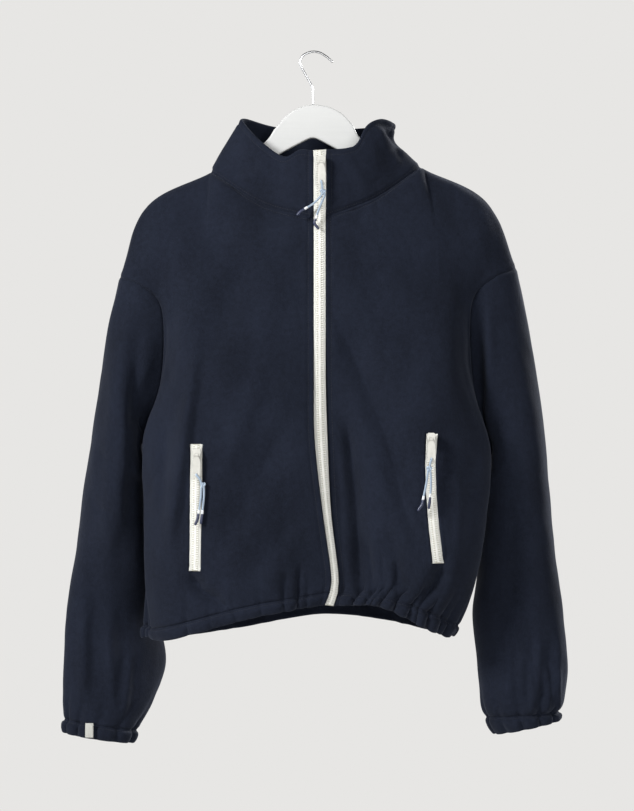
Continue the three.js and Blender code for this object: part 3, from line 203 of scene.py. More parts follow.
SLEEVE_PLASTIC = new_material("cord_sleeve", (0.78, 0.80, 0.82), 0.25, Transmission_Weight=0.25)
roughen(SLEEVE_PLASTIC, noise(SLEEVE_PLASTIC, 700, 2), 0.2, 0.35)
TIP = new_material("cord_tip", (0.020, 0.026, 0.060), 0.35, Specular_IOR_Level=0.5)
roughen(TIP, noise(TIP, 900, 2), 0.28, 0.45)
bump(TIP, [(noise(TIP, 1200, 2), 1)], 0.0001)

LABEL_CLOTH = new_material("label_tape", (0.56, 0.56, 0.53), 0.8, Sheen_Weight=0.1)
label_rows = wave(LABEL_CLOTH, (2200, 0, 0))
label_picks = wave(LABEL_CLOTH, (0, 2200, 0))
tint(LABEL_CLOTH, [(label_rows, 0.5), (label_picks, 0.5)],
     [(0.2, (0.44, 0.44, 0.41)), (0.8, (0.58, 0.58, 0.55))])
bump(LABEL_CLOTH, [(label_rows, 0.5), (label_picks, 0.5)], 0.0002)

PAINT = new_material("painted_wood", (0.47, 0.475, 0.47), 0.42, Coat_Weight=0.15, Coat_Roughness=0.3)
grain = noise(PAINT, 60, 4, 0.6, (0.25, 3, 6))
tint(PAINT, [(grain, 0.6), (noise(PAINT, 25, 2), 0.4)],
     [(0.3, (0.455, 0.46, 0.455)), (0.7, (0.485, 0.49, 0.485))])
roughen(PAINT, noise(PAINT, 300, 3), 0.36, 0.52)
bump(PAINT, [(grain, 0.6), (noise(PAINT, 500, 3), 0.4)], 0.0003, 0.6)

STEEL = new_material("hook_wire", (0.70, 0.71, 0.73), 0.18, 1.0)
drawn = noise(STEEL, 900, 3, 0.6, (1, 1, 0.2))
roughen(STEEL, drawn, 0.12, 0.28)
tint(STEEL, [(drawn, 1)], [(0.3, (0.62, 0.63, 0.66)), (0.7, (0.78, 0.79, 0.80))])


# Meshes. Points are in mm and become metres here.
def mesh_piece(name, points, faces, material, body, uv=None):
    mesh = bpy.data.meshes.new(name)
    mesh.from_pydata((np.asarray(points, float) / 1000).tolist(), [], [list(f) for f in faces])
    if uv is not None:
        layer = mesh.uv_layers.new(name="UVMap")
        index = np.zeros(len(mesh.loops), int)
        mesh.loops.foreach_get("vertex_index", index)
        layer.data.foreach_set("uv", np.asarray(uv, float)[index].ravel() / 1000)
    mesh.polygons.foreach_set("use_smooth", [True] * len(mesh.polygons))
    mesh.materials.append(material)
    mesh.update()
    made = bpy.data.objects.new(name, mesh)
    bpy.context.scene.collection.objects.link(made)
    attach(made, body)
    return made


def unit(v):
    length = np.linalg.norm(v, axis=-1, keepdims=True)
    return v / np.maximum(length, 1e-9)


def smooth(t):
    t = np.clip(t, 0, 1)
    return t * t * (3 - 2 * t)


def curve_at(points, t, sharp=None):
    """Smooth curve through points. sharp is how far the curve breaks at each of them."""
    points = np.asarray(points, float)
    flat = points.reshape(len(points), -1)
    t = np.atleast_1d(np.asarray(t, float))
    last = len(flat) - 1
    i = np.clip(np.floor(t).astype(int), 0, last - 1)
    f = (t - i)[:, None]
    broken_by = np.zeros(len(flat)) if sharp is None else np.asarray(sharp, float)

    def slope(k, side):
        before = flat[np.maximum(0, k - 1)]
        after = flat[np.minimum(last, k + 1)]
        span = np.where((k == 0) | (k == last), 1, 2)[:, None]
        even = (after - before) / span
        broken = after - flat[k] if side > 0 else flat[k] - before
        return even + (broken - even) * broken_by[k][:, None]

    a, b = flat[i], flat[i + 1]
    da, db = slope(i, 1), slope(i + 1, -1)
    out = (a * (2 * f**3 - 3 * f**2 + 1) + da * (f**3 - 2 * f**2 + f)
           + b * (-2 * f**3 + 3 * f**2) + db * (f**3 - f**2))
    return out.reshape((len(t),) + points.shape[1:])


def run_along(points):
    """Length of the line up to each of its points."""
    return np.r_[0, np.cumsum(np.linalg.norm(np.diff(points, axis=0), axis=1))]


def at_runs(s, run, values):
    """The values, known at run, read at the length or lengths s."""
    return np.stack([np.interp(s, run, values[:, c]) for c in range(3)], axis=-1)


# Angles of the rings of a rounded cap, from its tip outward
CAP_ANGLES = (0.25, 0.7, 1.15)


def tube(name, path, radius, material, body, sides=14, rounded=(False, True)):
    """Tube along a path, with caps that may be rounded. radius is a number or one for each point."""
    path = np.asarray(path, float)
    radius = np.broadcast_to(np.asarray(radius, float), (len(path),)).copy()
    along = unit(np.gradient(path, axis=0))
    side = unit(np.cross(along[0], [0.0, 1.0, 0.3]))
    rings = []
    for k, p in enumerate(path):
        side = unit(side - along[k] * np.dot(side, along[k]))
        first, last = k == 0 and rounded[0], k == len(path) - 1 and rounded[1]
        shifts = [(-math.cos(a) * radius[0], math.sin(a) * radius[0]) for a in CAP_ANGLES if first]
        shifts += [(0, radius[k])]
        shifts += [(math.cos(a) * radius[-1], math.sin(a) * radius[-1]) for a in CAP_ANGLES[::-1] if last]
        rings += [(p + along[k] * shift, r, side, np.cross(along[k], side)) for shift, r in shifts]
    runs = run_along(np.array([ring[0] for ring in rings]))
    points, uv = [], []
    for (p, r, s, other), run in zip(rings, runs):
        for k in range(sides):
            turn = 2 * math.pi * k / sides
            points.append(p + r * (math.cos(turn) * s + math.sin(turn) * other))
            uv.append((run, 2 * math.pi * max(radius) * k / sides))
    faces = []
    for i in range(len(rings) - 1):
        for k in range(sides):
            n = (k + 1) % sides
            faces.append((i * sides + k, i * sides + n, (i + 1) * sides + n, (i + 1) * sides + k))
    faces.append(tuple(range(sides))[::-1])
    faces.append(tuple((len(rings) - 1) * sides + k for k in range(sides)))
    return mesh_piece(name, points, faces, material, body, uv)


def dense(points, step=0.6):
    points = np.asarray(points, float)
    length = np.linalg.norm(np.diff(points, axis=0), axis=1).sum()
    count = max(8, int(length / step))
    fine = curve_at(points, np.linspace(0, len(points) - 1, 12 * len(points)))
    run = run_along(fine)
    return at_runs(np.linspace(0, run[-1], count), run, fine)


# Pull cords: each half starts in the tab's hole, passes the knot and ends in its moulded tip
EYE_RADIUS = 2.1
TAB_LENGTH = 26
TAB_THICK = 2.0
CORD_RADIUS = 1.25
TIP_RADIUS = 1.7
KNOT_RADIUS = 3.3
PULLS = {
    "front": dict(body="front_pull", knot=(2.0, -35.6),
                  tails=[[(0, 0), (-5, -6), (-12, -12), (-20.5, -17)],
                         [(0.5, -0.5), (-3, -9), (-7, -19), (-10, -28.5)]],
                  tips=[(-7.8, -6.2), (2.8, -10.7)]),
    "left": dict(body="left_pocket_pull", knot=(7.2, -35.2),
                 tails=[[(0, 0), (-0.6, -10), (-1.8, -20), (-3.4, -30)],
                        [(0, 0), (0, -9), (-1, -20), (-2.2, -30.5)]],
                 tips=[(-3.5, -12), (-1.2, -10)]),
    "right": dict(body="right_pocket_pull", knot=(-2.6, -35.0),
                  tails=[[(0, 0), (-1.4, -11), (-3.5, -22), (-5.8, -32.5)],
                         [(0, 0), (0.6, -10), (0.4, -20), (-0.4, -29.5)]],
                  tips=[(-5.3, -11.4), (-1.5, -12)]),
}
PINS = {j["name"]: np.array(j["pos_m"]) * 1000 for j in frame["joints"]}


def knot_mesh(name, centre, body):
    """A small overhand knot of the same cord."""
    turns = np.linspace(0, 2 * math.pi, 97)
    loop = np.stack([np.sin(turns) + 2 * np.sin(2 * turns), -1.1 * np.sin(3 * turns),
                     np.cos(turns) - 2 * np.cos(2 * turns)], axis=1)
    loop *= (1.2 * KNOT_RADIUS - CORD_RADIUS) / 3.0
    return tube(name, centre + loop, CORD_RADIUS, CORD, body, sides=10, rounded=(False, False))


for side, pull in PULLS.items():
    pin = PINS[f"{pull['body']}_hinge"]
    body = pull["body"]
    hole_z = pin[2] - EYE_RADIUS + 0.6 - TAB_LENGTH + 4.4
    knot = np.array([pin[0] + pull["knot"][0], pin[1], pin[2] + 0.5 + pull["knot"][1]])
    hole = np.array([pin[0], pin[1], hole_z + 0.5])
    aim = unit(np.array([pin[0], pin[1], hole_z]) - knot)
    start = knot + aim * (KNOT_RADIUS + 0.1)
    knot_piece = knot_mesh(f"knot_{side}", knot, body)
    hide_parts(f"cord_knot_{side}")
    for k, letter in enumerate("ab"):
        across = (-1, 1)[k]
        deep = TAB_THICK / 2 + CORD_RADIUS + 0.25
        loop = [hole,
                (pin[0], pin[1] + across * deep, hole_z - 0.4),
                (0.65 * start[0] + 0.35 * pin[0], pin[1] + across * deep, 0.5 * (start[2] + hole_z)),
                start + np.array([0, across * 1.35, 0]),
                knot + np.array([across * 0.6, 0, 0])]
        tail = [np.array([knot[0] + x + across * 1.5, knot[1], knot[2] + z - KNOT_RADIUS - 0.3])
                for x, z in pull["tails"][k]]
        way = unit(tail[-1] - tail[-2])
        tip_start = tail[-1] + way * 0.3
        reach = math.hypot(*pull["tips"][k])
        tip_mid = tip_start + way * reach * 0.45
        tip_end = tip_start + np.array([pull["tips"][k][0], 0, pull["tips"][k][1]])
        path = dense([*loop, *tail, tip_start, tip_mid])
        radii = np.full(len(path), CORD_RADIUS)
        piece = tube(f"cord_{side}_{letter}", path, radii, CORD, body, sides=12, rounded=(False, False))
        tip_path = dense([tip_start, tip_mid, tip_end], 0.4)
        share = np.linspace(0, 1, len(tip_path))
        tip_shape = TIP_RADIUS * (0.86 + 0.14 * np.sin(math.pi * np.clip(share, 0, 1)) ** 0.5)
        tip_shape *= 1 - 0.10 * np.exp(-((share - 0.22) / 0.05) ** 2)
        tip = tube(f"tip_{side}_{letter}", tip_path, tip_shape, TIP, body, sides=16, rounded=(True, True))
        collar_path = dense([tail[-1] - way * 4.6, tail[-1] - way * 2.0, tail[-1] - way * 0.2], 0.5)
        ferrule = tube(f"ferrule_{side}_{letter}", collar_path, CORD_RADIUS + 0.3, SLEEVE_PLASTIC, body,
                       sides=16, rounded=(False, False))
        nodes = [f"cord_tail_{side}_{letter}"] + ([f"cord_loop_{side}"] if k == 0 else [])
        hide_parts(*nodes)
        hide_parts(f"cord_tip_{side}_{letter}")

def rows(keys, *values):
    """A table: one dict for each tuple of values."""
    return [dict(zip(keys.split(), one)) for one in values]


def folds(*values):
    """Each fold is a label, the start, middle and end of its line, width and rise, and where they
    differ from 0, width and 2, its side, lee and power. width is the reach to the right of the line
    as it runs down, lee the reach to its left. Power 2 is round, and power 1 has a crisp line."""
    made = []
    for _, start, mid, end, width, rise, *rest in values:
        side, lee, power = [*rest, *(0, None, 2)[len(rest):]]
        made.append(dict(line=np.array([start, mid, end], float), width=width, rise=rise, side=side,
                         lee=lee or width, power=power))
    return made


# Section tables. Each row is one level of the panel, from the hem seam up to the neck and shoulder
# seam. corner is how sharply the row bends at the side of the neck.

LEFT_FRONT = rows("row corner at",
    ("hem seam", 0, [(20, -80, -641), (-76, -94, -657), (-158, -80, -679), (-187, -52, -686),
     (-191, -28, -686)]),
    ("low", 0, [(21, -78, -618), (-79, -98, -626), (-158, -84, -634), (-194, -52, -640),
     (-193, -22, -640)]),
    ("pocket", 0, [(11, -84, -545), (-79, -98, -545), (-153, -86, -547), (-197, -50, -549),
     (-192, -12, -550)]),
    ("underarm", 0, [(2, -82, -463), (-79, -92, -463), (-147, -82, -463), (-196, -46, -464),
     (-200, -8, -462)]),
    ("armhole", 0, [(1, -76, -393), (-76, -84, -393), (-142, -76, -393), (-174, -46, -394),
     (-181, -14, -392)]),
    ("chest", 0, [(1, -68, -323), (-74, -72, -323), (-139, -62, -320), (-168, -40, -316),
     (-180, -26, -309)]),
    ("yoke", 0.4, [(1, -58, -246), (-66, -56, -240), (-128, -42, -225), (-183, -34, -236),
     (-204, -27, -280)]),
    ("edge", 1, [(1, -52, -213), (-61, -40, -196), (-124, -17, -156.5), (-198, -16, -196.5),
     (-226, -14, -271)]),
    ("top", 1, [(1, -50, -201), (-60, -36, -184), (-122, 0, -143.5), (-199, 0, -184.5), (-231, 2, -269)]),
)
RIGHT_FRONT = rows("row corner at",
    ("hem seam", 0, [(29, -72, -642), (85, -90, -646), (135, -84, -665), (171, -56, -681),
     (169, -28, -681)]),
    ("low", 0, [(29, -70, -618), (99, -94, -624), (155, -88, -627), (191, -56, -625), (187, -22, -629)]),
    ("pocket", 0, [(21, -74, -546), (99, -98, -550), (162, -88, -551), (203, -52, -552), (196, -12, -550)]),
    ("underarm", 0, [(17, -70, -463), (97, -92, -469), (160, -86, -471), (206, -50, -473),
     (206, -8, -471)]),
    ("armhole", 0, [(15, -68, -393), (92, -84, -393), (155, -78, -393), (181, -48, -393),
     (190, -14, -392)]),
    ("chest", 0, [(15, -66, -323), (88, -72, -320), (149, -64, -315), (175, -44, -309), (189, -26, -302)]),
    ("yoke", 0.4, [(15, -58, -246), (80, -56, -240), (146, -42, -218), (195, -34, -227), (215, -27, -271)]),
    ("edge", 1, [(15, -52, -213), (76, -40, -188), (133, -17, -151), (206, -16, -190), (238, -14, -261)]),
    ("top", 1, [(15, -50, -200), (75, -36, -176), (129, 0, -138), (207, 0, -178), (243, 2, -258)]),
)
BACK = rows("row corner at",
    ("hem seam", 0, [(-191, -28, -686), (-202, 0, -684), (-170, 34, -684), (-90, 54, -675), (8, 58, -661),
     (84, 56, -667), (142, 46, -678), (172, 6, -684), (169, -28, -681)]),
    ("low", 0, [(-193, -22, -640), (-197, 4, -636), (-168, 38, -634), (-90, 60, -626), (8, 62, -618),
     (90, 60, -622), (150, 46, -630), (180, 8, -634), (187, -22, -629)]),
    ("pocket", 0, [(-192, -12, -550), (-182, 20, -548), (-155, 52, -546), (-88, 68, -544), (8, 70, -542),
     (100, 68, -544), (160, 54, -548), (187, 20, -550), (196, -12, -550)]),
    ("underarm", 0, [(-200, -8, -462), (-184, 26, -462), (-156, 60, -462), (-86, 70, -460), (8, 72, -458),
     (102, 70, -460), (162, 60, -464), (190, 26, -468), (206, -8, -471)]),
    ("armhole", 0, [(-182, 24, -394), (-173, 40, -394), (-150, 60, -392), (-84, 68, -392), (8, 70, -390),
     (100, 68, -392), (158, 60, -394), (181, 40, -394), (191, 24, -394)]),
    ("chest", 0, [(-184, 38, -312), (-174, 48, -316), (-146, 58, -318), (-80, 62, -320), (8, 62, -318),
     (96, 62, -318), (152, 58, -316), (181, 48, -309), (193, 38, -305)]),
    ("yoke", 0.4, [(-206, 31, -283), (-186, 36, -246), (-140, 44, -228), (-76, 52, -236), (8, 56, -238),
     (92, 52, -232), (148, 44, -220), (197, 36, -236), (217, 31, -274)]),
    ("edge", 1, [(-226, 17, -272), (-198, 16, -196.5), (-126, 19, -158.5), (-68, 38, -166), (6, 50, -170),
     (80, 38, -162), (133, 19, -153), (206, 16, -190), (238, 17, -262)]),
    ("top", 1, [(-231, 2, -269), (-199, 0, -184.5), (-122, 0, -143.5), (-66, 32, -151), (5, 46, -156),
     (76, 32, -148), (129, 0, -138), (207, 0, -178), (243, 2, -258)]),
)
HEM_EDGE = {
    "left_front": [(14, -78, -656.5), (-73, -92, -671.5), (-155, -80, -695), (-184, -54, -700),
        (-194, -30, -698)],
    "right_front": [(24, -72, -658), (78, -88, -659), (131, -80, -685), (160, -56, -697),
        (163, -30, -695)],
    "back": [(-194, -30, -698), (-203, 0, -702), (-170, 35, -704), (-90, 55, -694), (8, 60, -678),
        (84, 58, -684), (140, 46, -696), (166, 6, -700), (163, -30, -695)],
}
LEFT_SLEEVE = rows("x y z width depth tilt yaw power",
    (-212, 4, -366, 98, 36, 78, 0, 2.1), (-225, 8, -406, 79, 44, 75, 0, 2.1),
    (-231, 12, -466, 58, 46, 62, 0, 2.1), (-238, 16, -542, 44, 45, 34, 6, 2.1),
    (-241, 28, -606, 46, 40, 17, 16, 2.1), (-243, 38, -672, 57, 31, 4, 27, 2.0),
    (-240, 30, -733, 63, 31, 2, 22, 2.0), (-248, 17, -779, 53, 32, 4, 14, 2.0),
    (-255, 7, -805, 43, 29, 9, 6, 2.0),
)
RIGHT_SLEEVE = rows("x y z width depth tilt yaw power",
    (223, 4, -364, 108, 36, 79, 0, 2.1), (235, 8, -408, 84, 44, 74, 0, 2.1),
    (242, 12, -470, 60, 46, 59, 0, 2.1), (246, 16, -545, 45, 45, 37, 5, 2.1),
    (245, 18, -605, 47, 42, 20, 8, 2.1), (246, 16, -666, 53, 36, 7, 8, 2.0),
    (252, 9, -734, 53, 33, 3, 5, 2.0), (252, 4, -777, 49, 33, 3, 0, 2.0),
    (251, 3, -792, 43, 29, 4, 0, 2.0),
)
COLLAR_TOP = rows("at x y z bulge",
    (0, 1, -42, -121, 3), (2, -16, -41, -120, 5), (4, -34, -39, -128, 5), (7, -59, -28, -111, 5),
    (9, -80, -9, -88, 2), (10.5, -82, 8, -78, 0), (13, -47, 34, -85, 4), (16, 4, 42, -89, 5),
    (19, 54, 36, -87, 2), (21.5, 94, 14, -86, -10), (23, 94, -2, -83, -10), (25, 80, -16, -81, -2),
    (27, 64, -28, -90, 5), (28.5, 52, -37, -112, 5), (30, 40, -41, -118, 5), (32, 15, -42, -120, 3),
)
HEM_GATHERS = rows("x width depth",
    (-150, 9, 2.2), (-112, 8, 1.4), (-60, 9, 1.2), (-14, 6, 2.0), (6, 6, 1.8), (50, 5, 4.6), (67, 5, 3.4),
    (84, 5, 4.2), (100, 5, 3.4), (118, 5, 4.4), (136, 5, 4.0), (154, 5, 3.6),
)
BOARD_TOP = rows("x z",
    (-195, -189.3), (-182, -180.7), (-122, -148.5), (-100, -132.6), (-58, -107.4), (-45.6, -91),
    (-30.6, -74.4), (-15.6, -65.4), (0, -62.4), (18, -64.6), (34, -72.4), (47.4, -86.4), (58, -103.6),
    (100, -126.6), (130, -142.5), (194, -176), (203, -183.3),
)
BOARD_LOW = rows("x z",
    (202, -202), (187, -201), (58, -132), (12, -107), (0, -102.5), (-12, -107), (-58, -132), (-178, -203),
    (-193, -207),
)
HOOK = rows("x z",
    (0, -62.1), (0, -50), (-1.2, -41), (-8, -28), (-14.2, -17), (-15.4, -11), (-12.6, -4), (-6.6, -0.2),
    (0, 1.4), (8, 0.2), (16, -4.4), (23, -10.5),
)
LEFT_CUFF = dict(x=-258, y=5, z=-821.5, width=41, depth=27, tilt=9, yaw=5, power=2.0)
RIGHT_CUFF = dict(x=257, y=3, z=-808.5, width=39, depth=27, tilt=12, yaw=0, power=2.0)
BACK_GATHER = dict(count=15, depth=2.6)
CUFF_GATHER = dict(count=11, depth=1.8)
FRONT_FOLDS = folds(
    ("ridge beside left pocket", (-137, -393), (-151, -479), (-166, -578), 12, 6),
    ("left pocket foot", (-146, -620), (-129, -639), (-104, -656), 10, -6),
    ("left soft band upper", (-29, -447), (-68, -510), (-106, -586), 20, -5),
    ("left soft band lower", (-12, -540), (-50, -590), (-84, -632), 16, -4),
    ("left chest", (-70, -250), (-100, -300), (-128, -372), 22, -5),
    ("right long trough", (26, -330), (75, -463), (122, -585), 13, -9),
    ("right long ridge", (48, -345), (96, -463), (140, -575), 13, 5),
    ("trough right of the zip", (32, -440), (45, -535), (52, -640), 11, -9),
    ("right pocket foot", (150, -610), (146, -628), (128, -650), 10, -8),
    ("right hem fold", (84, -560), (96, -610), (106, -646), 12, -6),
    ("right chest", (60, -250), (80, -300), (140, -380), 22, -4),
)
BACK_FOLDS = folds(
    ("left back drape", (-110, -260), (-95, -420), (-100, -620), 18, -6),
    ("middle back drape", (-20, -330), (-8, -480), (-22, -640), 22, 6),
    ("right back drape", (112, -270), (80, -430), (64, -630), 18, -7),
    ("right back ridge", (140, -330), (124, -470), (112, -620), 15, 5),
)
LEFT_SLEEVE_FOLDS = folds(
    ("front ridge", (-226, -330), (-234, -470), (-243, -620), 12, 6, 1),
    ("outer ridge", (-274, -640), (-277, -700), (-276, -770), 10, 5, 1),
    ("middle trough", (-262, -650), (-262, -710), (-262, -780), 8, -5, 1),
    ("inner ridge", (-246, -650), (-244, -710), (-240, -775), 10, 5, 1),
    ("back drape", (-236, -380), (-250, -560), (-240, -740), 14, -6, -1),
)
RIGHT_SLEEVE_FOLDS = folds(
    ("front inner ridge", (207, -300), (208, -450), (203, -640), 11, 7, 1),
    ("front trough", (238, -420), (246, -560), (240, -690), 16, -5, 1),
    ("cuff fold left", (262, -690), (258, -740), (254, -780), 8, -6, 1),
    ("cuff fold right", (284, -700), (282, -745), (276, -780), 8, -6, 1),
    ("back drape", (244, -380), (256, -560), (250, -740), 14, -6, -1),
)
POCKETS = {
    "left": rows("x z half", (-136, -468, 7.0), (-136, -505, 7.0), (-136.5, -545, 6.8),
                 (-137, -585, 6.6), (-137.5, -616, 6.6)),
    "right": rows("x z half", (139, -456, 6.6), (137, -490, 6.0), (138, -526, 6.0), (141, -566, 6.2),
                  (146, -607, 6.4)),
}


# Smaller creases of the cloth, in the same terms as the folds, and the pleats of the gathered hem
FRONT_CREASES = folds(
    ("long trough eased", (26, -330), (75, -463), (122, -585), 13, 8),
    ("long ridge eased", (48, -345), (96, -463), (140, -575), 13, -5),
    ("long fold edge", (24, -312), (75, -430), (119, -582), 32, -12, 0, 16, 1.15),
    ("trough by the zip eased", (32, -440), (45, -535), (52, -640), 11, 6),
    ("deep fold by the zip", (36, -424), (48, -520), (56, -676), 13, -11, 0, 9, 1.25),
    ("placket fold", (25, -440), (31, -540), (37, -668), 5, -4, 0, 4, 1.2),
    ("second fold by the zip", (60, -570), (65, -612), (68, -672), 6, -5, 0, 5, 1.3),
    ("third fold by the zip", (77, -590), (81, -622), (83, -672), 6, -4.6, 0, 5, 1.2),
    ("fourth fold by the zip", (96, -600), (98, -630), (99, -674), 5, -3.6, 0, 4, 1.2),
    ("zip nick one", (20, -364), (28, -370), (37, -378), 2.6, -1.3),
    ("zip nick two", (20, -384), (27, -390), (35, -400), 2.6, -1.0),
    ("right pocket foot edge", (157, -592), (148, -630), (120, -662), 6, -4.0, 0, 6, 1.2),
    ("right pocket foot swell", (162, -600), (156, -636), (134, -664), 8, 2.0),
    ("right side wrinkle", (158, -521), (174, -526), (196, -524), 2.6, -1.6, 0, 4),
    ("left ridge edge", (-134, -340), (-150, -479), (-168, -600), 9, 5.5, 0, 11, 1.3),
    ("left ridge lee", (-126, -350), (-142, -479), (-158, -590), 6, -3.0),
    ("left pocket foot edge", (-152, -604), (-130, -641), (-92, -664), 8, -5.6, 0, 8, 1.2),
    ("left band edge", (-26, -430), (-66, -512), (-110, -600), 18, -2.6, 0, 18, 1.4),
    ("left hem tug one", (-14, -606), (-16, -626), (-18, -650), 3.2, -3.2),
    ("left hem tug two", (-30, -616), (-32, -632), (-34, -654), 3.2, -1.8),
    ("zip side pull", (24, -424), (36, -452), (44, -500), 6, -2.2),
    ("zip drag", (20, -400), (52, -418), (78, -440), 7, -1.4),
    ("left chest drape", (-28, -330), (-52, -420), (-84, -520), 13, -1.6),
    ("left mid band", (-60, -380), (-84, -450), (-112, -520), 11, 1.5),
    ("left lower drag", (-30, -520), (-62, -580), (-112, -640), 10, -1.8),
    ("left low swell", (-10, -560), (-34, -600), (-58, -640), 9, 1.4),
    ("left pocket corner", (-150, -612), (-132, -640), (-98, -664), 5, -2.2),
    ("left side tuck", (-190, -470), (-182, -500), (-184, -560), 8, 2.2),
    ("left side dent", (-176, -440), (-174, -470), (-180, -520), 7, -2.4),
    ("right lap", (70, -440), (98, -510), (128, -570), 6, 2.4),
    ("right hem pull one", (44, -580), (50, -616), (52, -648), 5, -2.4),
    ("right hem pull two", (62, -590), (68, -620), (72, -650), 5, -1.8),
    ("right hem pull three", (98, -600), (104, -630), (110, -660), 5, -2.0),
    ("right pocket side", (160, -470), (172, -540), (166, -610), 8, 2.2),
    ("right side drag", (150, -500), (176, -506), (198, -500), 5, -1.2),
    ("right side drag low", (150, -530), (176, -534), (196, -526), 5, -1.0),
    ("right armhole drape", (176, -300), (186, -350), (176, -410), 8, -1.2),
    ("left armhole drape", (-168, -300), (-178, -350), (-168, -410), 8, -1.8),
)
BACK_CREASES = folds(
    ("shoulder blade left", (-60, -220), (-90, -300), (-104, -400), 14, -1.8),
    ("shoulder blade right", (70, -220), (100, -300), (116, -390), 14, -1.8),
    ("low drape one", (-60, -470), (-52, -550), (-60, -650), 10, 1.8),
    ("low drape two", (-130, -480), (-124, -560), (-134, -660), 9, -2.2),
    ("low drape three", (30, -460), (36, -550), (28, -650), 11, -2.0),
    ("low drape four", (90, -490), (86, -570), (94, -660), 9, 1.8),
    ("side drag right", (150, -430), (166, -480), (160, -560), 8, -2.4),
    ("side drag left", (-150, -430), (-162, -480), (-158, -560), 8, -2.4),
    ("neck dip", (-30, -190), (6, -206), (44, -190), 12, -1.4),
)
LEFT_SLEEVE_CREASES = folds(
    ("front ridge edge", (-222, -385), (-226, -480), (-229, -575), 4, 3.0, 1, 8),
    ("front ridge lee", (-210, -330), (-212, -470), (-216, -590), 9, -5.5, 1),
    ("middle trough eased", (-262, -650), (-262, -710), (-262, -780), 8, 3.4, 1),
    ("outer ridge eased", (-274, -640), (-277, -700), (-276, -770), 10, -2, 1),
    ("inner ridge eased", (-246, -650), (-244, -710), (-240, -775), 10, -2.4, 1),
    ("cuff ridge outer", (-273, -665), (-274, -720), (-273, -790), 5, 1.6, 1, 6),
    ("cuff ridge middle", (-246, -675), (-243, -730), (-239, -792), 5, 1.4, 1, 6),
    ("cuff ridge inner", (-220, -720), (-222, -760), (-226, -792), 4, 2.6, 1),
    ("inner reach", (-207, -438), (-206, -474), (-208, -516), 15, 8.5),
    ("elbow drag one", (-262, -470), (-248, -486), (-232, -492), 6, -1.8, 1),
    ("elbow drag two", (-266, -530), (-252, -548), (-236, -552), 6, -1.6, 1),
    ("outer trough", (-282, -650), (-284, -710), (-282, -780), 6, -0.8, 1),
    ("inner pucker", (-228, -680), (-228, -730), (-236, -785), 6, -1.0, 1),
    ("upper swell", (-212, -300), (-222, -360), (-228, -430), 10, 1.6, 1),
    ("back elbow one", (-262, -520), (-244, -540), (-226, -542), 8, -2.2, -1),
    ("back elbow two", (-262, -580), (-244, -602), (-226, -606), 8, -2.0, -1),
    ("back cuff pull", (-252, -680), (-248, -730), (-252, -785), 7, -2.0, -1),
)
RIGHT_SLEEVE_CREASES = folds(
    ("inner ridge edge", (208, -270), (209, -370), (209, -480), 7, 3.2, 1, 4),
    ("inner slot", (195, -285), (196, -360), (198, -430), 8, -6.0, 1),
    ("left cuff fold eased", (262, -690), (258, -740), (254, -780), 8, 3, 1),
    ("right cuff fold eased", (284, -700), (282, -745), (276, -780), 8, 3, 1),
    ("cuff ridge one", (259, -735), (260, -765), (260, -792), 3.2, 2.6, 1),
    ("cuff ridge two", (277, -730), (278, -762), (278, -792), 3.2, 2.8, 1),
    ("cuff ridge three", (292, -735), (292, -765), (290, -792), 3.2, 2.2, 1),
    ("inner reach", (213, -440), (212, -470), (213, -500), 14, 3.5),
    ("outer swell", (262, -420), (276, -520), (284, -620), 11, 1.8, 1),
    ("elbow drag one", (228, -560), (250, -572), (270, -566), 7, -1.6, 1),
    ("elbow drag two", (232, -610), (254, -624), (276, -616), 7, -1.4, 1),
    ("cuff pull left", (240, -700), (240, -740), (242, -780), 5, -2.0, 1),
    ("cuff ridge", (268, -690), (268, -740), (264, -780), 5, 2.4, 1),
    ("cuff ridge right", (292, -690), (292, -740), (286, -780), 5, 2.0, 1),
    ("back elbow one", (222, -530), (244, -548), (266, -550), 8, -2.2, -1),
    ("back elbow two", (222, -590), (246, -610), (268, -612), 8, -2.0, -1),
    ("back cuff pull", (252, -680), (250, -730), (252, -780), 7, -2.0, -1),
)
COLLAR_CREASES = folds(
    ("right corner fold", (74, -90), (92, -112), (112, -128), 3.5, 3.4, 0, 5),
    ("right corner hollow", (84, -90), (102, -106), (118, -118), 6, -3.4),
    ("right front fall", (30, -126), (44, -150), (52, -176), 7, -1.8, 0, 10),
    ("left front fall", (-58, -128), (-66, -146), (-80, -160), 9, 1.6),
    ("left neck fold", (-96, -150), (-80, -140), (-60, -136), 7, -2.0),
    ("left front dip", (-44, -128), (-40, -150), (-38, -176), 9, -1.4),
    ("right corner dent", (84, -92), (92, -104), (100, -122), 6, -3.2),
    ("right corner ridge", (72, -92), (84, -112), (104, -138), 6, 2.2),
    ("right front drape", (46, -124), (60, -146), (84, -166), 8, -1.8),
    ("back neck dip", (-20, -100), (4, -112), (30, -102), 10, -1.4),
)
HEM_PLEATS = rows("x width depth",
    (-148, 2.6, 1.6), (-121, 2.4, 1.2), (-92, 2.6, 1.0), (-62, 2.4, 1.0), (-34, 2.6, 2.2), (-17, 2.4, 3.4),
    (-6, 2.3, 2.4), (14, 2.4, 2.6), (35, 2.3, 2.2), (51.6, 2.5, 4.6), (66.2, 2.4, 3.8), (74, 2.2, 2.6),
    (82.6, 2.4, 3.8), (98.4, 2.5, 3.8), (114.8, 2.5, 4.0), (124, 2.2, 2.6), (135.8, 2.5, 4.0),
    (151, 2.4, 3.6), (159.5, 2.3, 2.8), (171, 2.4, 2.6),
)


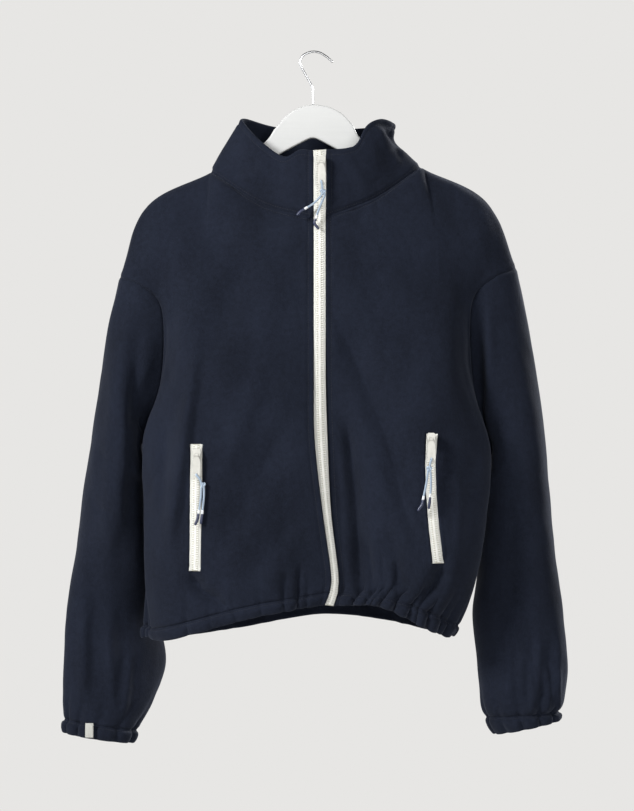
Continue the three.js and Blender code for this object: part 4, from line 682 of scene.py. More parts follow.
# Fine cells for each cell of the solids
FINE = 8
FRONT_SPANS = [5, 5, 4, 4]
BACK_SPANS = [4, 4, 3, 3, 3, 3, 4, 4]
ROW_SPANS = [2, 2, 3, 2, 3, 3, 2, 2]
SLEEVE_SPANS = [2, 2, 2, 2, 2, 2, 2, 1]
COLLAR_CELLS = 5
UNDERARM = 7 * FINE
NECK_SWING = 9
SLEEVE_BOW = 9
FLEECE_WALL = 2.4
COLLAR_WALL = 4.0
CASING_WALL = 3.8
SEAM_WALL = 1.6
PANEL_SWELL = 0.55
SLEEVE_SWELL = 0.5
COLLAR_SWELL = 0.45
HEM_PUFF = 2.2
CUFF_PUFF = 2.0
NECK_MIDDLE = 4.0


def stops(spans):
    out = [0.0]
    for k, count in enumerate(spans):
        out += [k + i / (count * FINE) for i in range(1, count * FINE + 1)]
    return np.array(out)


def from_neck(t):
    inside = np.clip(t, 0, 1)
    return np.where((t > 0) & (t < 1), np.sin(math.pi * inside**0.45), 0)


def panel_grid(table, spans, corners, swing):
    across = stops(spans)
    rows = []
    for row in table:
        sharp = np.zeros(len(row["at"]))
        sharp[corners] = row["corner"]
        line = curve_at(row["at"], across, sharp)
        line[:, 1] += swing(across) * NECK_SWING * max(0, 2 * row["corner"] - 1)
        rows.append(line)
    return curve_at(np.array(rows), stops(ROW_SPANS))


def grid_normals(grid, closed=False):
    up = np.gradient(grid, axis=0)
    if closed:
        side = np.roll(grid, -1, axis=1) - np.roll(grid, 1, axis=1)
    else:
        side = np.gradient(grid, axis=1)
    return unit(np.cross(side, up))


def fold_push(one, x, z):
    """How far a fold moves points at x and z."""
    at = np.stack([x, z], axis=-1)
    best = np.full(x.shape, np.inf)
    along = np.zeros(x.shape)
    reach = np.full(x.shape, float(one["width"]))
    for k in (0, 1):
        a, b = one["line"][k], one["line"][k + 1]
        d = b - a
        t = np.clip(((at - a) @ d) / (d @ d), 0, 1)
        away = np.linalg.norm(at - a - t[..., None] * d, axis=-1)
        nearer = away < best
        best = np.where(nearer, away, best)
        along = np.where(nearer, k / 2 + t / 2, along)
        across = d[0] * (at[..., 1] - a[1]) - d[1] * (at[..., 0] - a[0])
        reach = np.where(nearer, np.where(across > 0, one["width"], one["lee"]), reach)
    ends = smooth(along / 0.25) * smooth((1 - along) / 0.2)
    return one["rise"] * (0.15 + 0.85 * ends) * np.exp(-(best / reach) ** one["power"])


def fold_panel(grid, folds, hold, closed=False, normals=None):
    if normals is None:
        normals = grid_normals(grid, closed)
    push = np.zeros(grid.shape[:2])
    for one in folds:
        part = fold_push(one, grid[..., 0], grid[..., 2])
        if one["side"]:
            part = part * smooth(0.5 - 2.5 * normals[..., 1] * one["side"])
        push += part
    return grid + normals * (push * hold)[..., None]


def cells(shape):
    """Row and column of each point in cells of the solid, with the last row and column."""
    i, j = np.meshgrid(np.arange(shape[0]) / FINE, np.arange(shape[1]) / FINE, indexing="ij")
    return i, j, (shape[0] - 1) / FINE, (shape[1] - 1) / FINE


def unevenness(grid, size, seed):
    """Slow swells of the cloth, never the same twice."""
    x, y, z = grid[..., 0], grid[..., 1], grid[..., 2]
    rng = np.random.default_rng(seed)
    total = np.zeros(x.shape)
    for reach in (95, 60, 38, 24):
        turn, phase = rng.uniform(0, math.pi), rng.uniform(0, 6.28, 3)
        u = (x * math.cos(turn) + 0.55 * z * math.sin(turn) + 0.6 * y) * 2 * math.pi / reach
        v = (z * math.cos(turn) * 0.5 - x * math.sin(turn)) * 2 * math.pi / (1.7 * reach)
        swell = np.sin(u + phase[0] + 1.3 * np.sin(v + phase[1])) * np.cos(v + phase[2])
        total += (reach / 95) ** 0.8 * swell
    return size * total


def gather_depth(x):
    total = np.zeros(np.shape(x))
    for g in HEM_GATHERS:
        total -= 0.5 * g["depth"] * np.exp(-((x - g["x"]) / g["width"]) ** 2)
    for g in HEM_PLEATS:
        total -= 1.35 * g["depth"] * np.exp(-(np.abs(x - g["x"]) / g["width"]) ** 1.4)
    return total


def back_wave(t):
    n = BACK_GATHER["count"]
    swell = 0.5 + 0.5 * np.sin(2 * math.pi * n * t + 1.7 * np.sin(9 * t))
    return -BACK_GATHER["depth"] * 2.4 * swell**2.6 * (0.7 + 0.3 * np.sin(23 * t))


def cuff_wave(t):
    n = CUFF_GATHER["count"]
    swell = 0.5 - 0.5 * np.sin(2 * math.pi * n * t + 1.3 * np.sin(7 * t))
    return CUFF_GATHER["depth"] * (0.4 - 2.3 * swell**2.6 * (0.8 + 0.2 * np.sin(17 * t)))


def run_up(grid):
    """Distance of each point from the grid's lowest row, measured up its column."""
    step = np.linalg.norm(np.diff(grid, axis=0), axis=2)
    return np.vstack([np.zeros((1, grid.shape[1])), np.cumsum(step, axis=0)])


def gathered(grid, wave_of, share=0.92, fade=18, closed=False):
    """Short folds that rise from a gathered seam along the grid's lowest row."""
    up = run_up(grid)
    hold = share * np.exp(-(up / fade) ** 1.3)
    if not closed:
        j = np.arange(grid.shape[1]) / FINE
        hold = hold * (smooth(j / 0.8) * smooth((j[-1] - j) / 0.8))[None, :]
    return grid + grid_normals(grid, closed) * (hold * wave_of)[..., None]


def panel(base, folds, creases, flip, seed, wave_of):
    """A front or back panel, its columns in the order of its table."""
    ordered = base[:, ::-1] if flip else base
    i, j, rows, cols = cells(ordered.shape)
    if flip:
        j = cols - j
    hold = smooth(i / 1.5) * smooth((rows - i) / 3) * smooth(j / 1.5) * smooth((cols - j) / 3)
    near = smooth(i / 0.35) * smooth((rows - i) / 1.2) * smooth(j / 0.7) * smooth((cols - j) / 1.2)
    grid = fold_panel(ordered, folds, hold)
    grid = fold_panel(grid, creases, near, normals=grid_normals(ordered))
    grid = grid + grid_normals(grid) * (near * unevenness(grid, PANEL_SWELL, seed))[..., None]
    t = np.arange(grid.shape[1]) / (grid.shape[1] - 1)
    grid = gathered(grid, wave_of(grid, t))
    return grid[:, ::-1] if flip else grid


def hem_wave(grid, t):
    return np.broadcast_to(gather_depth(grid[0, :, 0])[None, :], grid.shape[:2])


def rear_wave(grid, t):
    return np.broadcast_to(back_wave(t)[None, :], grid.shape[:2])


left_front = panel(panel_grid(LEFT_FRONT, FRONT_SPANS, [2], lambda t: -from_neck(2 - t)),
                   FRONT_FOLDS, FRONT_CREASES, True, 3, hem_wave)
right_front = panel(panel_grid(RIGHT_FRONT, FRONT_SPANS, [2], lambda t: -from_neck(2 - t)),
                    FRONT_FOLDS, FRONT_CREASES, False, 5, hem_wave)
back = panel(panel_grid(BACK, BACK_SPANS, [2, 6], lambda t: 0.6 * (from_neck(t - 2) + from_neck(6 - t))),
             BACK_FOLDS, BACK_CREASES, True, 8, rear_wave)

LAST = left_front.shape[0] - 1
SEAM = left_front.shape[1] - 1
BACK_LAST = back.shape[1] - 1
SHOULDER = (FRONT_SPANS[2] + FRONT_SPANS[3]) * FINE
NECK = (FRONT_SPANS[0] + FRONT_SPANS[1]) * FINE

# The side seams and the shoulder seams belong to a front and the back alike
for front, column, step in ((left_front, 0, 1), (right_front, BACK_LAST, -1)):
    side = (front[: UNDERARM + 1, SEAM] + back[: UNDERARM + 1, column]) / 2
    front[: UNDERARM + 1, SEAM] = side
    back[: UNDERARM + 1, column] = side
    for j in range(SHOULDER + 1):
        joined = (front[LAST, SEAM - j] + back[LAST, column + step * j]) / 2
        front[LAST, SEAM - j] = joined
        back[LAST, column + step * j] = joined


# Sleeves start on the armhole: down the front to the underarm, then up the back
def armhole(front, column):
    return np.vstack([front[UNDERARM: LAST + 1, SEAM][::-1], back[UNDERARM + 1: LAST, column]])


def ring_points(section, angle, outward):
    tilt, yaw = math.radians(section["tilt"]), math.radians(section["yaw"])
    c, s = np.cos(angle), np.sin(angle)
    power = 2 / section["power"]
    across = section["width"] * np.sign(c) * np.abs(c) ** power
    deep = section["depth"] * np.sign(s) * np.abs(s) ** power
    x = across * math.cos(tilt) * math.cos(yaw) - deep * math.sin(yaw)
    y = -across * math.cos(tilt) * math.sin(yaw) - deep * math.cos(yaw)
    z = across * math.sin(tilt)
    return np.stack([section["x"] + outward * x, section["y"] + y, section["z"] + z], axis=-1)


def ring_angles(ring):
    """Angle of each ring point, by its share of the way round the armhole."""
    count = len(ring)
    half = count // 2
    angles = np.zeros(count)
    for step in (1, -1):
        index = (step * np.arange(half + 1)) % count
        run = run_along(ring[index])
        share = math.pi * run / run[-1]
        if step > 0:
            angles[index] = share
        else:
            angles[index[1:half]] = 2 * math.pi - share[1:half]
    return angles


def sleeve_grid(ring, sections, outward, folds, creases, seed):
    angles = ring_angles(ring)
    count = len(ring)
    down = stops(SLEEVE_SPANS)[:, None]
    even = 2 * math.pi * np.arange(count) / count
    turn = angles + (even - angles) * smooth(down / 3)
    knots = np.array([ring_points(s, turn, outward) for s in sections])
    grid = np.array([curve_at(knots[:, i], down[i, 0])[0] for i in range(len(down))])
    first = ring_points(sections[0], angles, outward)
    grid += (ring - first)[None] * (1 - smooth(down / 2.2))[..., None]
    inner = smooth(0.5 - 0.5 * np.cos(turn))
    grid[..., 0] += outward * SLEEVE_BOW * inner * np.sin(math.pi * np.minimum(down, 2) / 2)
    grid = grid[::-1]
    if outward > 0:
        grid = grid[:, ::-1]
    i, _, rows, _ = cells(grid.shape)
    plain = grid_normals(grid, True)
    grid = fold_panel(grid, folds, smooth(i / 1.5) * smooth((rows - i) / 3), True)
    near = smooth(i / 0.8) * smooth((rows - i) / 1.5)
    grid = fold_panel(grid, creases, near, True, plain)
    grid = grid + grid_normals(grid, True) * (near * unevenness(grid, SLEEVE_SWELL, seed))[..., None]
    t = np.arange(count) / count
    puckers = np.broadcast_to(cuff_wave(t)[None, :], grid.shape[:2])
    return gathered(grid, puckers, 0.8, 28, True)


left_sleeve = sleeve_grid(armhole(left_front, 0), LEFT_SLEEVE, -1, LEFT_SLEEVE_FOLDS,
                          LEFT_SLEEVE_CREASES, 12)
right_sleeve = sleeve_grid(armhole(right_front, BACK_LAST), RIGHT_SLEEVE, 1, RIGHT_SLEEVE_FOLDS,
                           RIGHT_SLEEVE_CREASES, 15)


# Collar: from the neck seam up to its top edge
def collar_grid():
    seam = np.vstack([left_front[LAST, : NECK + 1], back[LAST, SHOULDER + 1: BACK_LAST - SHOULDER + 1],
                      right_front[LAST, :NECK][::-1]])
    at = np.array([k["at"] for k in COLLAR_TOP], float)
    keys = np.array([(k["x"], k["y"], k["z"]) for k in COLLAR_TOP], float)
    cell = np.arange(len(seam)) / FINE
    position = np.interp(cell, at, np.arange(len(at)))
    top = curve_at(keys, position)
    bulge = np.interp(cell, at, [k["bulge"] for k in COLLAR_TOP])
    rows = []
    for t in np.linspace(0, 1, COLLAR_CELLS * FINE + 1):
        line = seam + (top - seam) * t
        out = line - np.array([NECK_MIDDLE, 0, 0])
        out[:, 2] = 0
        rows.append(line + unit(out) * (bulge * math.sin(math.pi * t))[:, None])
    grid = np.array(rows)[:, ::-1]
    i, j, last_row, last_col = cells(grid.shape)
    near = smooth(i / 1.2) * smooth(j / 1.0) * smooth((last_col - j) / 1.0)
    near = near * (0.35 + 0.65 * smooth((last_row - i) / 1.0))
    grid = fold_panel(grid, COLLAR_CREASES, near)
    return grid + grid_normals(grid) * (near * unevenness(grid, COLLAR_SWELL, 21))[..., None]


collar = collar_grid()


# Casings: the upper edge lies on the panel's own edge, the lower edge follows its table
CASING_ROWS = 3 * FINE


def casing_grid(top, spans, edge, wave_line):
    low = curve_at(edge, stops(spans))
    share = np.linspace(0, 1, CASING_ROWS + 1)[:, None, None]
    grid = low[None] * (1 - share) + top[None] * share
    j = 3 * np.arange(len(top)) / FINE
    ends = smooth(j / 2.5) * smooth((j[-1] - j) / 2.5)
    fade = 1 - 0.1 * smooth(share[..., 0])
    grid[..., 2] -= 0.4 * wave_line * ends * (1 - smooth(share[..., 0]))
    puff = HEM_PUFF * np.sin(math.pi * share[..., 0])
    return grid + grid_normals(grid) * ((fade * wave_line * smooth(1.6 - 1.6 * share[..., 0]) + puff)
                                        * ends)[..., None]


hem_left = casing_grid(left_front[0, ::-1], FRONT_SPANS[::-1], HEM_EDGE["left_front"][::-1],
                       gather_depth(left_front[0, ::-1, 0]))
hem_right = casing_grid(right_front[0], FRONT_SPANS, HEM_EDGE["right_front"],
                        gather_depth(right_front[0, :, 0]))
hem_back = casing_grid(back[0, ::-1], BACK_SPANS[::-1], HEM_EDGE["back"][::-1],
                       back_wave(np.linspace(0, 1, BACK_LAST + 1)))


def cuff_grid(sleeve, section, outward):
    top = sleeve[0]
    count = len(top)
    turn = 2 * math.pi * np.arange(count) / count
    if outward > 0:
        turn = 2 * math.pi * (count - 1) / count - turn
    low = ring_points(section, turn, outward)
    share = np.linspace(0, 1, CASING_ROWS + 1)[:, None, None]
    grid = low[None] * (1 - share) + top[None] * share
    fade = smooth(1.5 - 1.5 * share[..., 0])
    puff = CUFF_PUFF * np.sin(math.pi * share[..., 0])
    push = fade * cuff_wave(np.arange(count) / count) + puff
    return grid + grid_normals(grid, True) * push[..., None]


left_cuff = cuff_grid(left_sleeve, LEFT_CUFF, -1)
right_cuff = cuff_grid(right_sleeve, RIGHT_CUFF, 1)


# Cloth shells: an outer and an inner face, rounded at free edges and drawn in at seams
def shell_faces(levels, cols, closed=False):
    """Faces of two grids of points, the outer before the inner, with the rims between them."""
    count = levels * cols
    i, j = np.meshgrid(np.arange(levels - 1), np.arange(cols if closed else cols - 1), indexing="ij")
    n = (j + 1) % cols
    quad = [i * cols + j, i * cols + n, (i + 1) * cols + n, (i + 1) * cols + j]
    outer = np.stack([k.ravel() for k in quad], axis=1)
    j, n, top = j[0], n[0], (levels - 1) * cols
    faces = [outer, outer[:, ::-1] + count,
             np.stack([j + count, n + count, n, j], axis=1),
             np.stack([top + j, top + n, top + n + count, top + j + count], axis=1)]
    if not closed:
        i = np.arange(levels - 1) * cols
        e = i + cols - 1
        faces += [np.stack([i, i + cols, i + cols + count, i + count], axis=1),
                  np.stack([e + count, e + cols + count, e + cols, e], axis=1)]
    return np.vstack(faces).tolist()


def line_runs(grid):
    """Distance of each point from each edge, along its column or row."""
    up = run_up(grid)
    across = run_up(grid.transpose(1, 0, 2)).T
    return dict(low=up, top=up[-1] - up, left=across, right=across[:, -1:] - across)


def denser(grid, edge):
    """Extra lines close to a free edge, so that it can be round."""
    shares = (0.45, 0.72, 0.9)
    if edge in ("left", "right"):
        return denser(grid.transpose(1, 0, 2), {"left": "low", "right": "top"}[edge]).transpose(1, 0, 2)
    if edge == "low":
        return denser(grid[::-1], "top")[::-1]
    extra = [grid[-2] + (grid[-1] - grid[-2]) * s for s in shares]
    return np.concatenate([grid[:-1], extra, grid[-1:]])


def pocket_depth(grid, rows):
    """Signed distance into a pocket's opening, in x and z."""
    x, z = grid[..., 0], grid[..., 2]
    level = np.array([r["z"] for r in rows], float)[::-1]
    middle = np.interp(z, level, np.array([r["x"] for r in rows], float)[::-1])
    half = np.interp(z, level, np.array([r["half"] for r in rows], float)[::-1])
    inside = np.minimum(half - np.abs(x - middle), np.minimum(z - level[0], level[-1] - z))
    return np.where(grid_normals(grid)[..., 1] < 0, inside, -99)


class Cloth:
    def __init__(self, name, grid, wall, free=(), seams=(), sewn=(), closed=False, pocket=None, thin=()):
        for edge in free:
            grid = denser(grid, edge)
        self.name, self.grid, self.closed, self.free = name, grid, closed, free
        self.wall, self.seams, self.sewn, self.pocket = wall, seams, sewn, pocket
        self.thin = thin
        self.normals = grid_normals(grid, closed)

    def finish_faces(self):
        runs = line_runs(self.grid)
        half = np.full(self.grid.shape[:2], self.wall / 2)
        for edge, reach in self.thin:
            half = half - (self.wall - SEAM_WALL) / 2 * (1 - smooth(runs[edge] / reach))
        for edge in self.free:
            radius = self.wall * 0.62
            d = np.clip(runs[edge] / radius, 0, 1)
            half = half * np.maximum(np.sqrt(np.maximum(0, 1 - (1 - d) ** 2)), 0.16)
        outer = half.copy()
        for edge in self.seams:
            outer -= 0.75 * np.exp(-(runs[edge] / 1.9) ** 2)
            outer += 0.25 * np.exp(-((runs[edge] - 5.0) / 3.0) ** 2)
        for edge, away in self.sewn:
            outer -= 1.1 * np.exp(-((runs[edge] - away) / 1.5) ** 2)
        if self.pocket:
            inside = pocket_depth(self.grid, self.pocket)
            outer += (0.25 - half - outer) * smooth(inside / 1.8 + 0.5)
            outer -= 0.45 * np.exp(-((inside + 5.0) / 1.2) ** 2)
            outer += 0.3 * np.exp(-((inside + 2.4) / 1.5) ** 2)
        self.outer = self.grid + self.normals * outer[..., None]
        self.inner = self.grid - self.normals * half[..., None]
        self.runs = runs

    def build(self):
        self.finish_faces()
        points = np.vstack([self.outer.reshape(-1, 3), self.inner.reshape(-1, 3)])
        faces = shell_faces(*self.grid.shape[:2], self.closed)
        across, up = self.runs["left"], self.runs["low"]
        uv = np.tile(np.stack([across.ravel(), up.ravel()], axis=1), (2, 1))
        return mesh_piece(self.name, points, faces, FLEECE, "jacket", uv)

    def line_from(self, edge, away):
        """Points and normals on the outer face at a distance from an edge."""
        outer, normals, run = self.outer, self.normals, self.runs[edge]
        if edge in ("left", "right"):
            outer, normals, run = outer.transpose(1, 0, 2), normals.transpose(1, 0, 2), run.T
        if edge in ("top", "right"):
            outer, normals, run = outer[::-1], normals[::-1], run[::-1]
        line, facing = [], []
        for k in range(outer.shape[1]):
            line.append([np.interp(away, run[:, k], outer[:, k, c]) for c in range(3)])
            facing.append([np.interp(away, run[:, k], normals[:, k, c]) for c in range(3)])
        line, facing = np.array(line), unit(np.array(facing))
        if self.closed:
            line, facing = np.vstack([line, line[:1]]), np.vstack([facing, facing[:1]])
        return line, facing


def share_seams(pieces):
    """Pieces that meet at a seam share their points' normals there."""
    met = {}
    edges = []
    for piece in pieces:
        rows, cols = piece.grid.shape[:2]
        border = np.zeros((rows, cols), bool)
        border[[0, -1]] = True
        if not piece.closed:
            border[:, [0, -1]] = True
        for i, j in zip(*np.nonzero(border)):
            key = tuple(np.round(piece.grid[i, j] * 10).astype(int))
            met[key] = met.get(key, 0) + piece.normals[i, j]
            edges.append((piece, i, j, key))
    for piece, i, j, key in edges:
        piece.normals[i, j] = met[key] / max(np.linalg.norm(met[key]), 1e-9)


# Free edges, seams and lines of stitches of each piece
ALL_SIDES = ("left", "right", "top", "low")
CASING = dict(wall=CASING_WALL, thin=[("top", 8)])
PANEL = dict(wall=FLEECE_WALL, thin=[("top", 6)])
SLEEVE = dict(wall=FLEECE_WALL, seams=("low", "top"), closed=True, thin=[("top", 8)])
CUFF = dict(CASING, free=("low",), seams=("top",), sewn=[("top", 2.6)], closed=True)
HEM_SEWN = [("top", 3.0)]
CLOTH = {
    "front_left": Cloth("front_left_panel", left_front[:, ::-1], free=("right",),
                        seams=("low", "top", "left"), sewn=[("right", 6.5), ("top", 4.0)],
                        pocket=POCKETS["left"], **PANEL),
    "front_right": Cloth("front_right_panel", right_front, free=("left",), seams=("low", "top", "right"),
                         sewn=[("left", 6.5), ("top", 4.0)], pocket=POCKETS["right"], **PANEL),
    "back": Cloth("back_panel", back[:, ::-1], seams=ALL_SIDES, sewn=[("top", 4.0)], **PANEL),
    "sleeve_left": Cloth("left_sleeve", left_sleeve, **SLEEVE),
    "sleeve_right": Cloth("right_sleeve", right_sleeve, **SLEEVE),
    "collar": Cloth("stand_collar", collar, COLLAR_WALL, ("top", "left", "right"), ("low",),
                    [("low", 3.0), ("top", 7.0), ("left", 6.5), ("right", 6.5)], thin=[("low", 9)]),
    "hem_front_left": Cloth("hem_casing_left", hem_left, free=("low", "right"), seams=("top", "left"),
                            sewn=HEM_SEWN, **CASING),
    "hem_front_right": Cloth("hem_casing_right", hem_right, free=("low", "left"), seams=("top", "right"),
                             sewn=HEM_SEWN, **CASING),
    "hem_back": Cloth("hem_casing_back", hem_back, free=("low",), seams=("top", "left", "right"),
                      sewn=HEM_SEWN, **CASING),
    "cuff_left": Cloth("left_cuff_casing", left_cuff, **CUFF),
    "cuff_right": Cloth("right_cuff_casing", right_cuff, **CUFF),
}
share_seams(CLOTH.values())
for node, cloth in CLOTH.items():
    cloth.build()
    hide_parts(node)


# Stitches: short threads laid end to end on the cloth
class Stitches:
    def __init__(self):
        self.points, self.faces = [], []

    def along(self, line, facing, pitch=3.1, length=2.3, width=0.5, rise=0.02):
        run = run_along(line)
        if run[-1] < 2 * pitch:
            return
        for s in np.arange(pitch, run[-1] - pitch, pitch):
            ends = [at_runs(s + d, run, line) for d in (-length / 2, 0, length / 2)]
            n = unit(at_runs(s, run, facing))
            way = unit(ends[2] - ends[0])
            side = np.cross(way, n)
            first = len(self.points)
            for k, (p, w, h) in enumerate(zip(ends, (0.35, 1, 0.35), (-0.15, 1, -0.15))):
                for a in (-1, -0.5, 0.5, 1):
                    up = h * (rise if abs(a) == 1 else rise + width * 0.45)
                    self.points.append(p + side * a * w * width / 2 + n * up)
            for k in (0, 1):
                for m in range(3):
                    a = first + 4 * k + m
                    self.faces.append((a, a + 1, a + 5, a + 4))
                a = first + 4 * k
                self.faces.append((a + 3, a, a + 4, a + 7))
            self.faces += [(first + 3, first + 2, first + 1, first),
                           (first + 8, first + 9, first + 10, first + 11)]

    def build(self, name, body="jacket"):
        made = mesh_piece(name, self.points, self.faces, THREAD, body)
        return made


SEWN = {
    "neck_stitches": [("collar", "low", 3.0), ("front_left", "top", 4.0), ("front_right", "top", 4.0),
                      ("back", "top", 4.0)],
    "collar_stitches": [("collar", "top", 7.0), ("collar", "left", 6.5), ("collar", "right", 6.5)],
    "zip_side_stitches": [("front_left", "right", 6.5), ("front_right", "left", 6.5)],
    "hem_stitches": [("hem_front_left", "top", 3.0), ("hem_front_right", "top", 3.0),
                     ("hem_back", "top", 3.0)],
    "cuff_stitches": [("cuff_left", "top", 3.0), ("cuff_right", "top", 3.0)],
}
for name, lines in SEWN.items():
    sewn = Stitches()
    for node, edge, away in lines:
        sewn.along(*CLOTH[node].line_from(edge, away))
    sewn.build(name)

# Zips
TAPE_THICK = 1.2
TOOTH_PITCH = 2.7
ZIP_STEP = 1.6
ZIP_FORWARD = 1.4
ZIP_LEVEL = 0.55
TOOTH_PROFILE = [(-3.1, -0.62), (-1.2, -0.55), (-0.55, -0.42), (0.1, -0.78), (0.95, -0.60), (1.2, 0.0),
                 (0.95, 0.60), (0.1, 0.78), (-0.55, 0.42), (-1.2, 0.55), (-3.1, 0.62)]


def tooth_row(name, middle, cross, out, width, forward, thick):
    """Moulded teeth along a line, from the left and the right in turn."""
    run = run_along(middle)
    along = unit(np.gradient(middle, axis=0))
    points, faces = [], []
    n = len(TOOTH_PROFILE)
    for k, s in enumerate(np.arange(2.0, run[-1] - 1.5, TOOTH_PITCH / 2)):
        hand = 1 if k % 2 else -1
        p = at_runs(s, run, middle)
        x, y, z = (unit(at_runs(s, run, field)) for field in (cross, out, along))
        first = len(points)
        for depth, inset in ((-0.5, 1.0), (0.34, 1.0), (0.5, 0.78)):
            for u, v in TOOTH_PROFILE:
                u, v = (u + 0.9) * inset - 0.9, v * inset
                points.append(p + x * hand * u * width + z * v + y * (forward + depth * thick))
        order = 1 if hand > 0 else -1
        for ring in (0, 1):
            for m in range(n):
                a, b = first + ring * n + m, first + ring * n + (m + 1) % n
                faces.append((a, b, b + n, a + n)[::order])
        faces.append(tuple(first + m for m in range(n))[::-order])
        faces.append(tuple(first + 2 * n + m for m in range(n))[::order])
    return mesh_piece(name, points, faces, TEETH, "jacket")


def strip(name, left, right, out, thick, material, shares, ridge=0.0):
    """A band between two lines, with rounded edges and a raised cord along its inner edge."""
    count = 9
    u = np.linspace(0, 1, count)
    start, end = (np.broadcast_to(np.asarray(s, float), len(left))[:, None] for s in shares)
    across = (start + (end - start) * u)[..., None]
    grid = left[:, None] * (1 - across) + right[:, None] * across
    half = thick / 2 * (1 - 0.55 * np.abs(2 * u - 1) ** 6)
    if ridge:
        near = np.exp(-((u - (1 if ridge > 0 else 0)) / 0.16) ** 2)
        half = half + abs(ridge) * near
    points = np.vstack([(grid + out[:, None] * half[None, :, None]).reshape(-1, 3),
                        (grid - out[:, None] * (half * 0 + thick / 2)[None, :, None]).reshape(-1, 3)])
    levels, cols = grid.shape[:2]
    uv = np.stack([np.broadcast_to(u[None, :] * 8, (levels, cols)).ravel(),
                   np.broadcast_to(run_along(left)[:, None], (levels, cols)).ravel()], axis=1)
    return mesh_piece(name, points, shell_faces(levels, cols), material, "jacket", np.tile(uv, (2, 1)))


def evened(line):
    """The line with its points ZIP_STEP apart."""
    run = run_along(line)
    return at_runs(np.linspace(0, run[-1], int(run[-1] / ZIP_STEP)), run, line)


def frame_of(left, right):
    """Middle of a zip between its two edges, with the directions across and outward."""
    middle = (left + right) / 2
    cross = unit(right - left)
    return middle, cross, unit(np.cross(cross, unit(np.gradient(middle, axis=0))))


# The front zip runs from the middle of the hem casing over the front to the top of the collar. Its
# two edges are brought to nearly the same depth, and it ends in a notch with flared tapes.
half_casing = CASING_ROWS // 2 + 1
zip_edges = [evened(np.vstack([hem_left[:half_casing, -1], left_front[:, 0], collar[1:, -1]])),
             evened(np.vstack([hem_right[:half_casing, 0], right_front[:, 0], collar[1:, 0]]))]
count = min(len(edge) for edge in zip_edges)
zip_edges = [curve_at(edge, np.linspace(0, len(edge) - 1, count)) for edge in zip_edges]
level = (zip_edges[0][:, 1:2] + zip_edges[1][:, 1:2]) / 2 - ZIP_FORWARD
zip_edges = [np.hstack([edge[:, :1], (1 - ZIP_LEVEL) * edge[:, 1:2] + ZIP_LEVEL * level, edge[:, 2:]])
             for edge in zip_edges]
zip_middle, zip_cross, zip_out = frame_of(*zip_edges)
above = run_along(zip_middle)
above = above[-1] - above
notch = 0.16 * smooth(1 - above / 7)
flare = 0.07 * smooth(1 - above / 9)
tape_left = strip("zip_tape_left_band", *zip_edges, zip_out, TAPE_THICK, TAPE, (-flare, 0.5 - notch), 0.15)
tape_right = strip("zip_tape_right_band", *zip_edges, zip_out, TAPE_THICK, TAPE, (0.5 + notch, 1 + flare),
                   -0.15)
teeth = tooth_row("front_zip_teeth", zip_middle, zip_cross, zip_out, 1.5, 1.1, 1.0)
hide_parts("zip_tape_left")
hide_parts("zip_tape_right")
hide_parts("zip_chain")
# The darker band under the front zip's teeth is painted shade for the gaps between them
gap_shade_band = strip("front_zip_core", *zip_edges, zip_out, 1.6, GAP_SHADE, (0.2, 0.8))


def face_depth(cloth, x, z):
    """Depth of a cloth's middle surface at x and z on the side towards the front."""
    near = cloth.normals[..., 1] < -0.2
    points = cloth.grid[near]
    away = (points[:, 0] - x) ** 2 + (points[:, 2] - z) ** 2
    closest = np.argsort(away)[:6]
    weight = 1 / (away[closest] + 0.05)
    return float((points[closest, 1] * weight).sum() / weight.sum())


for side in ("left", "right"):
    cloth = CLOTH[f"front_{side}"]
    slit = POCKETS[side][::-1]
    levels = np.linspace(slit[0]["z"], slit[-1]["z"], 95)
    known = [r["z"] for r in slit]
    middle_x = np.interp(levels, known, [r["x"] for r in slit])
    half_width = np.interp(levels, known, [r["half"] for r in slit])
    edges = []
    for hand in (-1, 1):
        x = middle_x + hand * half_width
        y = np.array([face_depth(cloth, a, b) for a, b in zip(x, levels)])
        y = np.convolve(np.pad(y, 4, mode="edge"), np.ones(9) / 9, mode="valid")
        edges.append(np.stack([x, y, levels], axis=1))
    middle, cross, out = frame_of(*edges)
    run = run_along(middle)
    ends = smooth(1 - (run[-1] - run) / 6), smooth(1 - run / 6)
    notch = 0.13 * ends[0] + 0.05 * ends[1]
    spread = 0.05 * (ends[0] + ends[1])
    band = strip(f"pocket_zip_band_{side}", *edges, out, 1.4, TAPE, (-spread, 0.5 - notch))
    half_band = strip(f"pocket_zip_half_{side}", *edges, out, 1.4, TAPE, (0.5 + notch, 1 + spread))
    row = tooth_row(f"pocket_zip_teeth_{side}", middle, cross, out, 1.3, 0.9, 1.2)
    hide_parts(f"pocket_zip_{side}")
    # The darker band under the pocket zip's teeth is painted shade for the gaps between them
    gap_shade_band = strip(f"pocket_zip_core_{side}", *edges, out, 1.7, GAP_SHADE, (0.16, 0.84))


# Sliders and pull tabs keep their solids' shape, with moulded edges
MOULDED_EDGE = 0.35


def moulded(node, name, body):
    made = bpy.data.objects.new(name, frame["nodes"][node].data.copy())
    bpy.context.scene.collection.objects.link(made)
    made.data.materials.clear()
    made.data.materials.append(ENAMEL)
    weld = made.modifiers.new("weld", "WELD")
    weld.merge_threshold = 0.00002
    flat = made.modifiers.new("flat", "DECIMATE")
    flat.decimate_type = "DISSOLVE"
    flat.angle_limit = math.radians(3)
    edge = made.modifiers.new("edge", "BEVEL")
    edge.width = MOULDED_EDGE / 1000
    edge.segments = 3
    edge.limit_method = "ANGLE"
    edge.angle_limit = math.radians(32)
    edge.harden_normals = False
    graph = bpy.context.evaluated_depsgraph_get()
    mesh = bpy.data.meshes.new_from_object(made.evaluated_get(graph))
    made.modifiers.clear()
    made.data = mesh
    made.data.polygons.foreach_set("use_smooth", [True] * len(made.data.polygons))
    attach(made, body)
    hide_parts(node)


